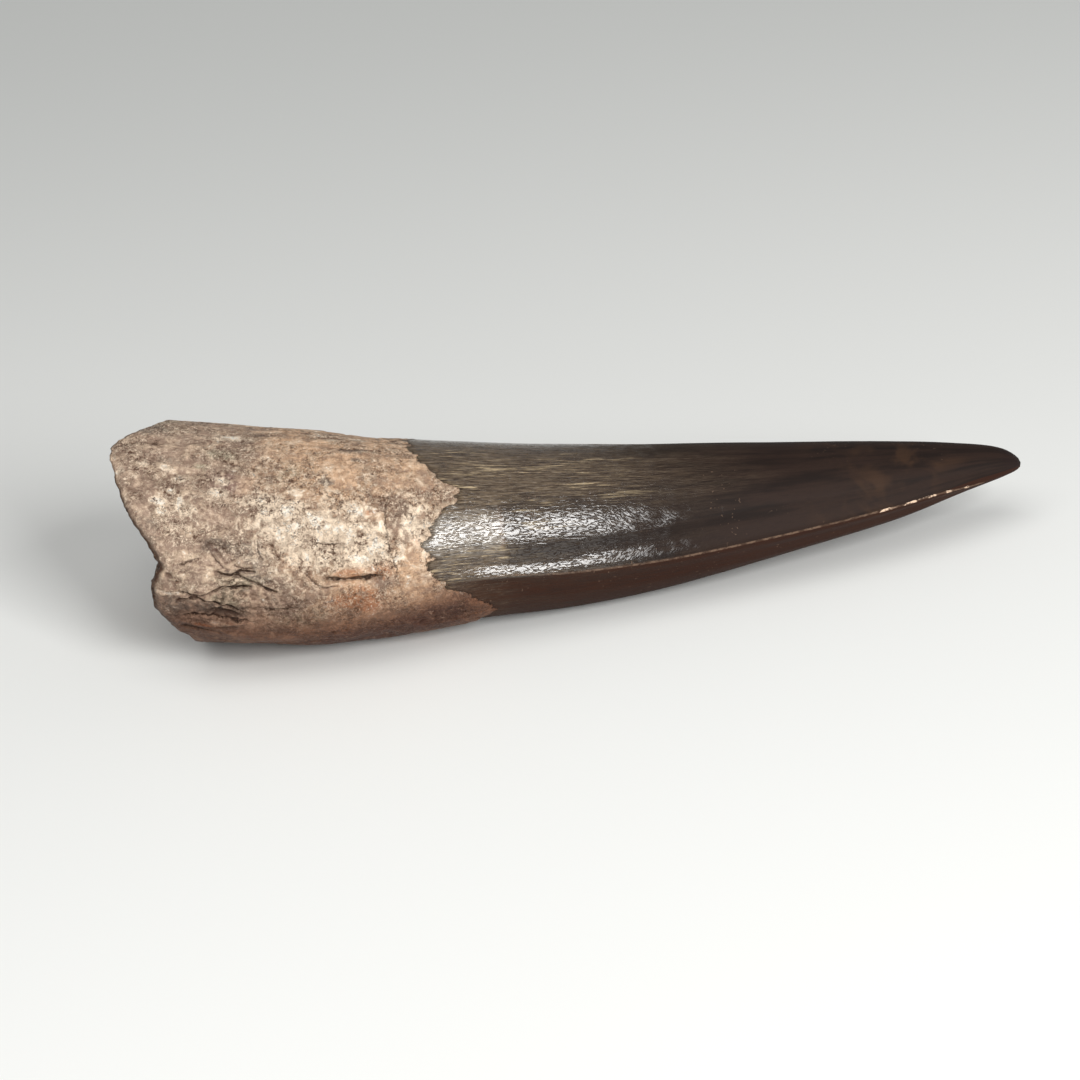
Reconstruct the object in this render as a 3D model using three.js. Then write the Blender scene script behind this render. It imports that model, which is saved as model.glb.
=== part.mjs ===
import * as THREE from 'three';

// A fossil tooth of a spinosaur, lying on its side. Millimetres, +X from the broken root to the
// tip, +Z up. The two cutting edges (carinae) face -Y and +Y. "At" is a place along the tooth,
// measured from its broken end. "Deg" is a place round it: 0 faces -Y, 90 up, 180 faces +Y and
// 270 down. The tooth grew as one piece, so it is one solid.

// ---- Driving dimensions ----
const LENGTH = 96;

// The tooth's oval sections: half its width (Y), half its depth (Z), how far its middle bows
// sideways and its middle's height over the floor. The root is stout, the neck draws in where the
// enamel starts, and the crown tapers. The belly is lowest from 26 to 42 and rises to both ends.
const SECTIONS = [
  { at: 0, halfWidth: 12.8, halfDepth: 11.3, bow: 0.0, height: 13.8 },
  { at: 12, halfWidth: 12.7, halfDepth: 11.3, bow: -2.05, height: 12.05 },
  { at: 22, halfWidth: 12.2, halfDepth: 10.95, bow: -3.25, height: 11.0 },
  { at: 30, halfWidth: 10.95, halfDepth: 9.9, bow: -3.6, height: 9.9 },
  { at: 36, halfWidth: 10.25, halfDepth: 9.35, bow: -3.65, height: 9.35 },
  { at: 46, halfWidth: 9.25, halfDepth: 8.5, bow: -3.4, height: 8.55 },
  { at: 58, halfWidth: 8.4, halfDepth: 7.1, bow: -2.9, height: 7.75 },
  { at: 70, halfWidth: 7.15, halfDepth: 5.65, bow: -2.5, height: 7.55 },
  { at: 81, halfWidth: 5.45, halfDepth: 4.15, bow: -2.1, height: 7.7 },
  { at: 89, halfWidth: 3.5, halfDepth: 2.65, bow: -1.7, height: 7.85 },
  { at: 94, halfWidth: 1.8, halfDepth: 1.35, bow: -1.3, height: 7.8 },
  { at: LENGTH, halfWidth: 0, halfDepth: 0, bow: -1.0, height: 7.7 },
];
// The spot that the tooth rests on, worn flat. The belly near it, in degrees, is smooth.
const WORN_SPOT_DEPTH = 0.45;
const SMOOTH_BELLY = [15, 40];

// The broken end: how far back the root is lost, round its rim.
const BREAK_RIM = [
  [0, 2.5], [8, 3.2], [12, 3.7], [17, 3.2], [29, 2.2], [38, 1.1], [50, 0.5], [64, 0.2],
  [80, 0.7], [86, 1.5], [98, 2.8], [112, 4.2], [130, 3.4], [150, 4.6], [163, 3.1], [180, 2.2],
  [200, 3.6], [222, 2.6], [240, 4.4], [262, 5.4], [290, 5.8], [312, 5.0], [324, 3.9], [335, 3.3],
  [350, 2.8],
];
const BREAK_ROUNDING = 0.7;
// Inside the rim the broken wall dips a little, and the filled pulp cavity lies deeper. The rings
// of the broken face are shares of the way out from its middle.
const BREAK_MIDDLE_AT = 2.6;
const PULP_AT = 4.1;
const PULP_SHARE = [0.5, 0.64];
const BREAK_RINGS = [0.93, 0.79, 0.65, 0.51, 0.27];
const BREAK_LUMP = 0.4;

// Where the enamel starts, round the tooth.
const ENAMEL_EDGE = [
  [9, 30.4], [17, 31.1], [25, 30.4], [34, 31.6], [44, 32.7], [50, 34.5], [56, 34.8], [68, 32.7],
  [83, 31.5], [94, 30.5], [112, 30.9], [130, 32.6], [150, 31.4], [170, 33.6], [195, 31.0],
  [220, 32.6], [250, 35.4], [285, 33.2], [315, 35.8], [326, 37.5], [334, 36.8], [345, 34.7],
  [356, 32.2],
];
const ENAMEL_STEP = 0.18;
const ENAMEL_BLEND = 0.6;

// The carinae: a fine raised edge with a shallow flute on each side of it.
const CARINA_HEIGHT = 0.42;
const CARINA_HALF_WIDTH = 0.45;
const CARINA_START = 35;
// Near the tip both carinae swing down by some degrees.
const CARINA_DROP = 25;
const CARINA_DROP_FROM = 84;
const FLUTE_DEPTH = 0.3;
const FLUTE_OFFSET = 2.1;
const FLUTE_HALF_WIDTH = 1.0;
const FULL_FLUTE_HALF_DEPTH = 6;
// Relief fades out where the tooth gets thinner than this.
const FULL_RELIEF_RADIUS = 3;

// Slow swells of the weathered root: height, waves along the length, waves round, phase.
const SWELLS = [
  [0.12, 2.3, 3, 0.4], [0.09, 3.7, -5, 1.9], [0.06, 6.1, 4, 4.2], [0.05, 9.3, -7, 2.7],
];
const SWELL_ON_CROWN = 0.1;

// Hollows (below 0) and lumps (above 0): at, deg, half-length, half-width, height.
const DENTS = [
  [9.2, 26, 1.8, 1.4, -0.6], [4.2, 9, 1.0, 1.1, -0.7], [9.5, 347, 2.2, 0.9, -0.8],
  [11.5, 6, 3.0, 2.2, -0.55], [6.0, 350, 2.4, 2.6, -0.35], [6.5, 47, 2.2, 1.6, 0.35],
  [4.8, 66, 3.0, 0.9, 0.4], [12.0, 330, 4.0, 1.8, 0.3], [20, 35, 6.0, 4.0, 0.15],
  [17, 90, 6.5, 3.0, 0.15], [9, 205, 3.5, 2.0, -0.6], [6.5, 236, 2.0, 1.8, -0.55],
  [13, 172, 4.0, 1.6, 0.35], [19, 228, 3.2, 1.4, -0.45], [23, 150, 2.2, 3.0, 0.3],
  [8, 128, 2.6, 1.4, -0.5], [5.5, 262, 2.2, 2.2, 0.3], [27, 196, 1.8, 1.8, -0.3],
];

// Cracks and open seams of the root: the path as [at, deg] points, half-width and depth.
const SEAMS = [
  { path: [[18.9, 8], [20.1, 5], [21.6, 7], [26, 8]], halfWidth: 0.55, depth: 0.6 },
  { path: [[27.1, 50], [26.8, 40], [27.0, 25], [27.1, 6]], halfWidth: 0.45, depth: 0.3 },
  { path: [[1, 78], [4, 82], [14, 86]], halfWidth: 0.6, depth: 0.5 },
  { path: [[7.3, 357], [11.9, 2], [14.5, 357]], halfWidth: 0.6, depth: 0.5 },
  { path: [[12, 214], [17, 209], [22.5, 213]], halfWidth: 0.6, depth: 0.6 },
  { path: [[4, 186], [8, 190], [12.5, 188]], halfWidth: 0.7, depth: 0.5 },
  { path: [[24.5, 118], [25.2, 140], [24.6, 166]], halfWidth: 0.5, depth: 0.35 },
];

// How finely the surface is faceted.
const ROWS_ON_ROOT = 34;
const ROWS_ON_CROWN = 28;
const COLUMNS = 64;
const ROOT_SHARE = 0.38;
const CARINA_CROWDING = 0.55;

// ---- Curves ----

// A smooth curve through points that never overshoots them (monotone cubic).
function smoothCurve(xs, ys) {
  const slopes = xs.map((_, i) => {
    if (i === 0) return (ys[1] - ys[0]) / (xs[1] - xs[0]);
    if (i === xs.length - 1) return (ys[i] - ys[i - 1]) / (xs[i] - xs[i - 1]);
    const before = (ys[i] - ys[i - 1]) / (xs[i] - xs[i - 1]);
    const after = (ys[i + 1] - ys[i]) / (xs[i + 1] - xs[i]);
    return before * after <= 0 ? 0 : (2 * before * after) / (before + after);
  });
  return (x) => {
    let i = 0;
    while (i < xs.length - 2 && x > xs[i + 1]) i += 1;
    const step = xs[i + 1] - xs[i];
    const t = Math.min(Math.max((x - xs[i]) / step, 0), 1);
    const start = ys[i] + slopes[i] * step * t * (1 - t) * (1 - t);
    const end = (ys[i + 1] - ys[i]) * t * t * (3 - 2 * t);
    return start + end - slopes[i + 1] * step * t * t * (1 - t);
  };
}

// A closed curve round the tooth through [deg, value] points, eased between neighbours.
function roundCurve(points) {
  return (deg) => {
    const place = ((deg % 360) + 360) % 360;
    const found = points.findIndex(([edge]) => edge > place);
    const next = found === -1 ? 0 : found;
    const last = (next + points.length - 1) % points.length;
    const span = (points[next][0] - points[last][0] + 360) % 360;
    const t = ((place - points[last][0] + 360) % 360) / span;
    const eased = t * t * (3 - 2 * t);
    return points[last][1] + (points[next][1] - points[last][1]) * eased;
  };
}

const ats = SECTIONS.map((section) => section.at);
// Squares are interpolated, so that the width falls to zero as a round tip does.
const widthSquared = smoothCurve(ats, SECTIONS.map((section) => section.halfWidth ** 2));
const depthSquared = smoothCurve(ats, SECTIONS.map((section) => section.halfDepth ** 2));
const bowAt = smoothCurve(ats, SECTIONS.map((section) => section.bow));
const heightAt = smoothCurve(ats, SECTIONS.map((section) => section.height));
const rimAt = roundCurve(BREAK_RIM);
const enamelAt = roundCurve(ENAMEL_EDGE);

function sectionAt(at) {
  const halfWidth = Math.sqrt(Math.max(0, widthSquared(at)));
  const halfDepth = Math.sqrt(Math.max(0, depthSquared(at)));
  return { halfWidth, halfDepth, y: bowAt(at), z: heightAt(at) };
}

// ---- Relief ----

const bell = (distance, halfWidth) => Math.exp(-((distance / halfWidth) ** 2));
const ramp = (value, from, to) => {
  const t = Math.min(Math.max((value - from) / (to - from), 0), 1);
  return t * t * (3 - 2 * t);
};
const shortestTurn = (deg) => ((((deg + 180) % 360) + 360) % 360) - 180;

// The distance in millimetres from a place on the tooth to a path of [at, deg] points.
function distanceToPath(at, deg, path, radius) {
  const millimetres = THREE.MathUtils.degToRad(radius);
  let nearest = Infinity;
  for (let i = 0; i < path.length - 1; i += 1) {
    const startAt = path[i][0] - at;
    const startTurn = shortestTurn(path[i][1] - deg) * millimetres;
    const alongAt = path[i + 1][0] - path[i][0];
    const alongTurn = shortestTurn(path[i + 1][1] - path[i][1]) * millimetres;
    const reach = -(startAt * alongAt + startTurn * alongTurn) / (alongAt ** 2 + alongTurn ** 2);
    const t = Math.min(Math.max(reach, 0), 1);
    nearest = Math.min(nearest, Math.hypot(startAt + alongAt * t, startTurn + alongTurn * t));
  }
  return nearest;
}

// How far the weathered root stands above (+) or below (-) its plain oval.
function rootRelief(at, deg, radius) {
  const turn = THREE.MathUtils.degToRad(deg);
  const millimetres = THREE.MathUtils.degToRad(radius);
  let height = 0;
  for (const [swell, along, round, phase] of SWELLS) {
    height += swell * Math.sin((2 * Math.PI * along * at) / LENGTH + round * turn + phase);
  }
  for (const [dentAt, dentDeg, halfLength, halfWidth, dentHeight] of DENTS) {
    const across = shortestTurn(deg - dentDeg) * millimetres;
    height += dentHeight * bell(at - dentAt, halfLength) * bell(across, halfWidth);
  }
  for (const { path, halfWidth, depth } of SEAMS) {
    height -= depth * bell(distanceToPath(at, deg, path, radius), halfWidth);
  }
  return height;
}

// The crown's carinae and flutes, which fade in past the neck and out at the tip.
function crownRelief(at, deg, halfDepth) {
  const strength = ramp(at, CARINA_START, CARINA_START + 12) * (1 - ramp(at, 90, LENGTH));
  const drop = CARINA_DROP * ramp(at, CARINA_DROP_FROM, LENGTH);
  const fromFront = Math.abs(shortestTurn(deg + drop));
  const fromBack = Math.abs(shortestTurn(deg - drop - 180));
  const degrees = Math.min(fromFront, fromBack);
  const arc = THREE.MathUtils.degToRad(degrees) * halfDepth;
  const ridge = CARINA_HEIGHT * bell(arc, CARINA_HALF_WIDTH);
  const room = THREE.MathUtils.clamp(halfDepth / FULL_FLUTE_HALF_DEPTH, 0.1, 1);
  const flute = FLUTE_DEPTH * room * bell(arc - FLUTE_OFFSET * room, FLUTE_HALF_WIDTH * room);
  return strength * (ridge - flute);
}

// A point of the surface, in the part's own axes before it is centred.
function surfacePoint(at, deg) {
  const { halfWidth, halfDepth, y, z } = sectionAt(at);
  const turn = THREE.MathUtils.degToRad(deg);
  const normalY = -halfDepth * Math.cos(turn);
  const normalZ = halfWidth * Math.sin(turn);
  const size = Math.hypot(normalY, normalZ) || 1;
  const radius = (halfWidth + halfDepth) / 2;
  const onRoot = 1 - ramp(at - enamelAt(deg), -ENAMEL_BLEND, ENAMEL_BLEND);
  const offBelly = ramp(Math.abs(shortestTurn(deg - 270)), ...SMOOTH_BELLY);
  const root = rootRelief(at, deg, radius) * (onRoot + SWELL_ON_CROWN * (1 - onRoot));
  const crown = crownRelief(at, deg, halfDepth) - ENAMEL_STEP * (1 - onRoot);
  const relief = root * offBelly + crown * Math.min(1, radius / FULL_RELIEF_RADIUS);
  return new THREE.Vector3(
    at - LENGTH / 2,
    y - halfWidth * Math.cos(turn) + (normalY / size) * relief,
    z + halfDepth * Math.sin(turn) + (normalZ / size) * relief,
  );
}

// ---- The closed surface ----

// Columns crowd towards the two carinae, so that a line of corners runs along each.
function columnDeg(column) {
  const even = column / COLUMNS;
  return 360 * (even - (CARINA_CROWDING / (4 * Math.PI)) * Math.sin(4 * Math.PI * even));
}

// Rows run from the rim of the break (0) to the tip (1), closer together on the root.
function rowShare(row) {
  if (row <= ROWS_ON_ROOT) return (ROOT_SHARE * row) / ROWS_ON_ROOT;
  return ROOT_SHARE + ((1 - ROOT_SHARE) * (row - ROWS_ON_ROOT)) / ROWS_ON_CROWN;
}

// A point of the broken face, a share of the way out from its middle to a point of its rim.
function breakPoint(share, deg, rim) {
  const turn = THREE.MathUtils.degToRad(deg);
  const middle = sectionAt(BREAK_MIDDLE_AT);
  const inPulp = 1 - ramp(share, ...PULP_SHARE);
  const wallAt = THREE.MathUtils.lerp(BREAK_MIDDLE_AT, rim.x + LENGTH / 2, share ** 3);
  const lumps = BREAK_LUMP * 4 * share * (1 - share) * Math.sin(3 * turn + 5 * share);
  return new THREE.Vector3(
    THREE.MathUtils.lerp(wallAt, PULP_AT, inPulp) + lumps - LENGTH / 2,
    THREE.MathUtils.lerp(middle.y, rim.y, share),
    THREE.MathUtils.lerp(middle.z, rim.z, share),
  );
}

function toothGeometry() {
  const rows = ROWS_ON_ROOT + ROWS_ON_CROWN;
  const points = [];
  for (let row = 0; row < rows; row += 1) {
    for (let column = 0; column < COLUMNS; column += 1) {
      const deg = columnDeg(column);
      const rim = rimAt(deg);
      points.push(surfacePoint(rim + (LENGTH - rim) * rowShare(row), deg));
    }
  }
  const rimRow = points.slice(0, COLUMNS);
  const middle = sectionAt(BREAK_MIDDLE_AT);
  rimRow.forEach((point) => {
    point.y += ((middle.y - point.y) * BREAK_ROUNDING) / middle.halfWidth;
    point.z += ((middle.z - point.z) * BREAK_ROUNDING) / middle.halfDepth;
  });
  const tip = points.push(surfacePoint(LENGTH, 0)) - 1;
  const firstRing = points.length;
  BREAK_RINGS.forEach((share) => {
    rimRow.forEach((rim, column) => points.push(breakPoint(share, columnDeg(column), rim)));
  });
  const heart = points.push(breakPoint(0, 0, rimRow[0])) - 1;

  const faces = [];
  for (let column = 0; column < COLUMNS; column += 1) {
    const beside = (column + 1) % COLUMNS;
    for (let row = 0; row < rows - 1; row += 1) {
      const here = row * COLUMNS;
      const ahead = here + COLUMNS;
      faces.push(here + column, ahead + column, here + beside);
      faces.push(here + beside, ahead + column, ahead + beside);
    }
    const lastRow = (rows - 1) * COLUMNS;
    faces.push(lastRow + column, tip, lastRow + beside);
    for (let ring = 0; ring < BREAK_RINGS.length; ring += 1) {
      const outer = ring === 0 ? 0 : firstRing + (ring - 1) * COLUMNS;
      const inner = firstRing + ring * COLUMNS;
      faces.push(outer + column, outer + beside, inner + column);
      faces.push(inner + column, outer + beside, inner + beside);
    }
    const lastRing = firstRing + (BREAK_RINGS.length - 1) * COLUMNS;
    faces.push(lastRing + column, lastRing + beside, heart);
  }
  return { points, faces };
}

// The worn spot: whatever of the belly lies under the floor is flattened to it, and the tooth is
// centred over its own origin.
function settle(points) {
  points.forEach((point) => {
    point.z = Math.max(0, point.z - WORN_SPOT_DEPTH);
  });
  const box = new THREE.Box3().setFromPoints(points);
  const centre = box.getCenter(new THREE.Vector3());
  points.forEach((point) => {
    point.x -= centre.x;
    point.y -= centre.y;
  });
}

const { points, faces } = toothGeometry();
settle(points);
const geometry = new THREE.BufferGeometry().setFromPoints(points);
geometry.setIndex(faces);
geometry.computeVertexNormals();

const fossil = new THREE.MeshStandardMaterial({ color: 0x5b4a3c, roughness: 0.5, metalness: 0 });
const tooth = new THREE.Mesh(geometry, fossil);
tooth.name = 'tooth';

const model = new THREE.Group();
model.add(tooth);

export default model;
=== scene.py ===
# %% [markdown]
# # A fossil spinosaur tooth
# The real object is one piece: a stout, weathered root that broke off the jaw, and a long crown
# whose enamel turned dark brown in the ground. The solid that we load here already has its size
# and its main shapes. This lesson lays a much finer skin over it, and then paints the skin.

# %% Load the frame
import itertools

import bpy
import numpy as np
from mathutils import Matrix, Vector


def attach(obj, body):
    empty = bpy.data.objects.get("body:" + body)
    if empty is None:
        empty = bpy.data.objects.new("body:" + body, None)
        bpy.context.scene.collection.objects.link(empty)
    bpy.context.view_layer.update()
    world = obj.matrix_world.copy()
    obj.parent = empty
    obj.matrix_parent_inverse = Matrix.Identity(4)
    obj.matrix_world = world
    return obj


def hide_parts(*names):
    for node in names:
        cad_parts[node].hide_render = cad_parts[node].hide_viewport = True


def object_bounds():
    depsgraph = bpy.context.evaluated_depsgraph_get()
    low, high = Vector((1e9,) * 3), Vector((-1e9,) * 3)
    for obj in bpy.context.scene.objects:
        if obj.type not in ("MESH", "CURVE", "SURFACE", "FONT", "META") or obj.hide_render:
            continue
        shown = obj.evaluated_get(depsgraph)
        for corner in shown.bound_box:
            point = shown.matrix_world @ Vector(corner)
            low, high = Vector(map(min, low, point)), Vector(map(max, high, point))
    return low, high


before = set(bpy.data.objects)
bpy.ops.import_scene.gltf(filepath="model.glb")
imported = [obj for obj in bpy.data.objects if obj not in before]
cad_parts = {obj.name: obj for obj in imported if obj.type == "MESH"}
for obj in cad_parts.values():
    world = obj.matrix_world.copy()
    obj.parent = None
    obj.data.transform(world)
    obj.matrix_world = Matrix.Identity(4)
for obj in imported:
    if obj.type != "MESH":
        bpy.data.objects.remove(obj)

MM = 0.001
cad_bounds = [list(corner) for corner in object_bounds()]
cad_low, cad_high = [np.array(corner) / MM for corner in cad_bounds]
print("the solid measures", np.round(cad_high - cad_low, 1), "mm")

# %% [markdown]
# ## The plain form
# A tooth could be sculpted, but its form is easy to say in numbers: an oval section that shrinks
# from the root to the tip while its middle wanders a little. We keep the sections in millimetres,
# as a collector would measure them with callipers. "At" is the distance from the broken end, and
# "deg" turns round the tooth: 0 faces -Y, 90 is up, 180 faces +Y and 270 is the belly.

# %% The sections
LENGTH = 96.0
SECTIONS = np.array([
    # at, half-width, half-depth, sideways bow, height of the middle
    [0, 12.8, 11.3, 0.0, 13.8],
    [12, 12.7, 11.13, -2.05, 11.88],
    [22, 12.2, 10.75, -3.25, 10.8],
    [30, 10.95, 9.9, -3.6, 10.15],
    [36, 10.15, 9.35, -3.65, 9.62],
    [46, 9.2, 8.72, -3.4, 8.42],
    [58, 8.4, 7.35, -2.9, 7.75],
    [70, 7.1, 5.65, -2.5, 7.72],
    [81, 5.35, 4.15, -2.1, 7.7],
    [89, 3.5, 2.65, -1.7, 7.85],
    [94, 1.95, 1.5, -1.35, 7.62],
    [LENGTH, 0, 0, -1.3, 7.2],
])


def smooth_curve(xs, ys, x):
    """A cubic through the points. The slope at a point is the harmonic mean of the slopes on both
    sides of it, or 0 where they differ in sign, so that the curve never overshoots."""
    slope = np.diff(ys) / np.diff(xs)
    before, after = slope[:-1], slope[1:]
    same_way = before * after > 0
    total = np.where(same_way, before + after, 1)
    inner = np.where(same_way, 2 * before * after / total, 0)
    slopes = np.concatenate([slope[:1], inner, slope[-1:]])
    i = np.clip(np.searchsorted(xs, x) - 1, 0, len(xs) - 2)
    step = xs[i + 1] - xs[i]
    t = np.clip((x - xs[i]) / step, 0, 1)
    rise = (ys[i + 1] - ys[i]) * t * t * (3 - 2 * t)
    return ys[i] + rise + step * t * (1 - t) * (slopes[i] * (1 - t) - slopes[i + 1] * t)


def section(at):
    """Half-width, half-depth and middle (y, z) of the oval at a place along the tooth. The squares
    of the half-width and half-depth are interpolated, so that the tip comes out round."""
    ats = SECTIONS[:, 0]
    width = np.sqrt(np.maximum(0, smooth_curve(ats, SECTIONS[:, 1] ** 2, at)))
    depth = np.sqrt(np.maximum(0, smooth_curve(ats, SECTIONS[:, 2] ** 2, at)))
    return width, depth, smooth_curve(ats, SECTIONS[:, 3], at), smooth_curve(ats, SECTIONS[:, 4], at)


print("half-width of the neck:", round(float(section(np.array(36.0))[0]), 2), "mm")

# %% [markdown]
# ## Two ragged lines round the tooth
# Two edges run right round it: the rim where the root snapped, and the edge where the enamel
# starts. Each is a list of places by angle, eased from one to the next. A closed list needs no
# seam, because the last point leads back to the first.

# %% The rim of the break and the enamel's edge
BREAK_RIM = np.array([
    [0, 2.4], [6, 3.0], [12, 3.6], [17, 3.2], [23, 2.6], [29, 2.1], [38, 1.1], [50, 0.5], [64, 0.1],
    [71, 0.0], [76, 0.3], [82, 0.9], [88, 1.9], [95, 3.2], [103, 4.8], [112, 5.7], [130, 5.2],
    [150, 4.7], [163, 4.2], [180, 3.8], [200, 4.0], [222, 4.2], [240, 5.2], [262, 6.0], [290, 6.0],
    [312, 5.1], [324, 4.0], [335, 3.0], [345, 2.6], [353, 2.4],
])
ENAMEL_EDGE = np.array([
    [9, 30.4], [17, 31.1], [25, 30.4], [34, 31.6], [44, 32.7], [50, 34.5], [56, 34.8], [68, 32.7],
    [83, 31.5], [94, 30.5], [112, 30.9], [130, 32.6], [150, 31.4], [170, 33.6], [195, 31.0],
    [220, 32.6], [250, 35.4], [285, 33.2], [315, 35.8], [326, 37.5], [334, 36.8], [345, 34.7],
    [356, 32.2],
])


def round_curve(points, deg):
    """A closed curve of the angle: between neighbours the value follows t * t * (3 - 2 * t)."""
    degs, values = points[:, 0], points[:, 1]
    after = np.searchsorted(degs, np.mod(deg, 360), side="right") % len(degs)
    before = after - 1
    span = np.mod(degs[after] - degs[before], 360)
    t = np.mod(deg - degs[before], 360) / span
    return values[before] + (values[after] - values[before]) * t * t * (3 - 2 * t)


def bell(distance, half_width):
    """exp(-(distance / half_width) squared): 1 in the middle and almost 0 two half-widths away."""
    return np.exp(-np.square(distance / half_width))


def ramp(value, start, end):
    """0 up to start and 1 from end, eased between them."""
    t = np.clip((value - start) / (end - start), 0, 1)
    return t * t * (3 - 2 * t)


def turn_between(deg, other):
    """The shortest turn from one angle to another, from -180 to 180 degrees."""
    return np.mod(deg - other + 180, 360) - 180


print("the rim is at", round_curve(BREAK_RIM, 90).round(2), "mm on top")

# %% [markdown]
# ## Random values that hold still
# Weathering is uneven at every scale, so the skin needs noise. Blender's own noise lives in shaders
# and modifiers. Here we want it as an array, so we work out gradient noise: every corner of a
# unit grid holds a random slope, and a point blends the slopes of the eight corners round it. The
# seed fixes the slopes, so the tooth comes out the same each time.


# %% Noise
def noise(points, seed):
    """Gradient noise of spacing 1, about -1 to 1, for an array of points whose last axis is xyz."""
    draw = np.random.default_rng(seed)
    shuffle = draw.permutation(256)
    slopes = draw.normal(size=(256, 3))
    slopes /= np.linalg.norm(slopes, axis=1, keepdims=True)
    cell = np.floor(points).astype(int)
    inside = points - cell
    ease = inside ** 3 * (inside * (inside * 6 - 15) + 10)
    total = np.zeros(points.shape[:-1])
    for corner in itertools.product((0, 1), repeat=3):
        x, y, z = np.moveaxis(cell + corner, -1, 0)
        slope = slopes[shuffle[(shuffle[(shuffle[x % 256] + y) % 256] + z) % 256]]
        weight = np.prod(np.where(corner, ease, 1 - ease), axis=-1)
        total += weight * np.sum((inside - corner) * slope, axis=-1)
    return total * 1.7


def layered_noise(points, seed, layers):
    """Noise plus half as much at twice the fineness, and so on for a number of layers."""
    return sum(noise(points * 2 ** i, seed + i) / 2 ** i for i in range(layers))


# %% [markdown]
# ## The weathered root
# The root is dentine that split along its length, flaked in layers and was pitted in the ground. The
# large dents and the longest seams are the solid's own. A seam is a line of a few points, and a
# point's distance to that line gives a groove. We keep the lines in one list with their true
# widths, because the finish will draw them as dark cracks from the same distances.

# %% Dents, seams and ridges
SWELLS = [
    (0.12, 2.3, 3, 0.4), (0.09, 3.7, -5, 1.9), (0.06, 6.1, 4, 4.2), (0.05, 9.3, -7, 2.7),
]
DENTS = [
    # at, deg, half-length, half-width, height
    (9.2, 25, 1.9, 1.3, -0.6), (4.3, 8, 0.35, 0.35, -0.5), (9.5, 346, 1.5, 0.6, -1.0),
    (11.5, 6, 3.0, 2.2, -0.55), (6.0, 350, 2.4, 2.6, -0.35), (6.5, 47, 2.2, 1.6, 0.2),
    (4.8, 66, 3.0, 0.9, 0.18), (12.0, 330, 4.0, 1.8, 0.3), (20, 35, 6.0, 4.0, 0.15),
    (17, 90, 6.5, 3.0, 0.15), (9, 205, 3.5, 2.0, -0.6), (6.5, 236, 2.0, 1.8, -0.55),
    (13, 172, 4.0, 1.6, 0.35), (19, 228, 3.2, 1.4, -0.45), (23, 150, 2.2, 3.0, 0.3),
    (8, 128, 2.6, 1.4, -0.5), (5.5, 262, 2.2, 2.2, 0.3), (27, 196, 1.8, 1.8, -0.3),
]
SEAMS = [
    # path of (at, deg), half-width, depth
    ([(20.3, 9), (22.1, 8), (24.1, 8), (25.6, 8)], 0.26, 0.5),
    ([(18.0, 13), (18.9, 7), (19.9, 4), (21.2, 5)], 0.016, 0.15),
    ([(27.4, 51), (27.0, 46), (26.9, 36), (26.8, 28), (27.1, 17), (27.3, 9)], 0.022, 0.07),
    ([(19.2, 30), (20.4, 28.5), (22.4, 28)], 0.045, 0.08),
    ([(0.6, 76), (1.9, 80), (3.6, 82), (5.2, 82)], 0.03, 0.1),
    ([(5.5, 14.5), (6.3, 16), (7.2, 18)], 0.05, 0.15), ([(9.0, 21), (9.4, 18), (9.9, 15)], 0.05, 0.2),
    ([(7.9, 28), (9.0, 27), (10.3, 25)], 0.03, 0.1),
    ([(9.3, 11), (11.0, 10), (11.7, 12.5), (12.9, 12)], 0.14, 0.45),
    ([(11.2, 15), (12.2, 14.5), (13.0, 15)], 0.07, 0.2),
    ([(11.0, 10), (12.0, 8), (13.4, 4), (14.8, 1)], 0.11, 0.35),
    ([(5.0, -2), (6.4, -4.5), (7.2, -4), (9.5, 2), (12.3, 3)], 0.08, 0.35),
    ([(4.9, -9), (6.7, -6), (8.5, -7), (10.0, -9.5), (11.4, -12)], 0.09, 0.35),
    ([(5.6, -19), (7.4, -17), (9.6, -18), (11.6, -17)], 0.07, 0.3),
    ([(5.2, -29), (8.6, -30)], 0.05, 0.2), ([(12.6, -8), (15, -9), (17.0, -7)], 0.03, 0.06),
    ([(20.1, 96), (23.5, 98), (27.4, 97)], 0.02, 0.1),
    ([(22.5, 87), (24.6, 85), (26.6, 86)], 0.03, 0.1),
    ([(13.8, 29), (13.6, 25), (13.9, 20)], 0.015, 0.2),
    ([(12, 214), (17, 209), (22.5, 213)], 0.14, 0.5), ([(4, 186), (8, 190), (12.5, 188)], 0.12, 0.4),
    ([(24.5, 118), (25.2, 140), (24.6, 166)], 0.06, 0.25), ([(4, 236), (9, 240), (15, 237)], 0.1, 0.3),
    ([(14, 250), (19, 255), (26, 251)], 0.07, 0.2), ([(7, 128), (12, 131), (18, 128)], 0.07, 0.2),
    ([(17, 160), (20, 164), (20.6, 172)], 0.06, 0.15), ([(8, 296), (14, 300), (21, 297)], 0.07, 0.2),
    ([(25, 226), (26.5, 234), (26.2, 244)], 0.05, 0.15), ([(6, 152), (9, 156), (10, 164)], 0.07, 0.2),
]
RIDGES = [
    ([(7.8, 74), (8.0, 80), (8.9, 83), (9.8, 79), (10.2, 72)], 0.28, 0.28),
    ([(17.7, 12), (18.5, 6), (19.6, 1.5)], 0.3, 0.18), ([(1.6, 67), (4.0, 64), (7.8, 57)], 0.4, 0.1),
    ([(3.1, -4), (5.0, -1)], 0.3, 0.3), ([(5.3, -24), (7.0, -25), (8.8, -22), (10.9, -18)], 0.35, 0.25),
    ([(6, 205), (10, 202), (15, 206)], 0.6, 0.25), ([(20, 245), (25, 240)], 0.5, 0.2),
]
print(len(DENTS), "dents,", len(SEAMS), "seams and", len(RIDGES), "ridges")


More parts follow.
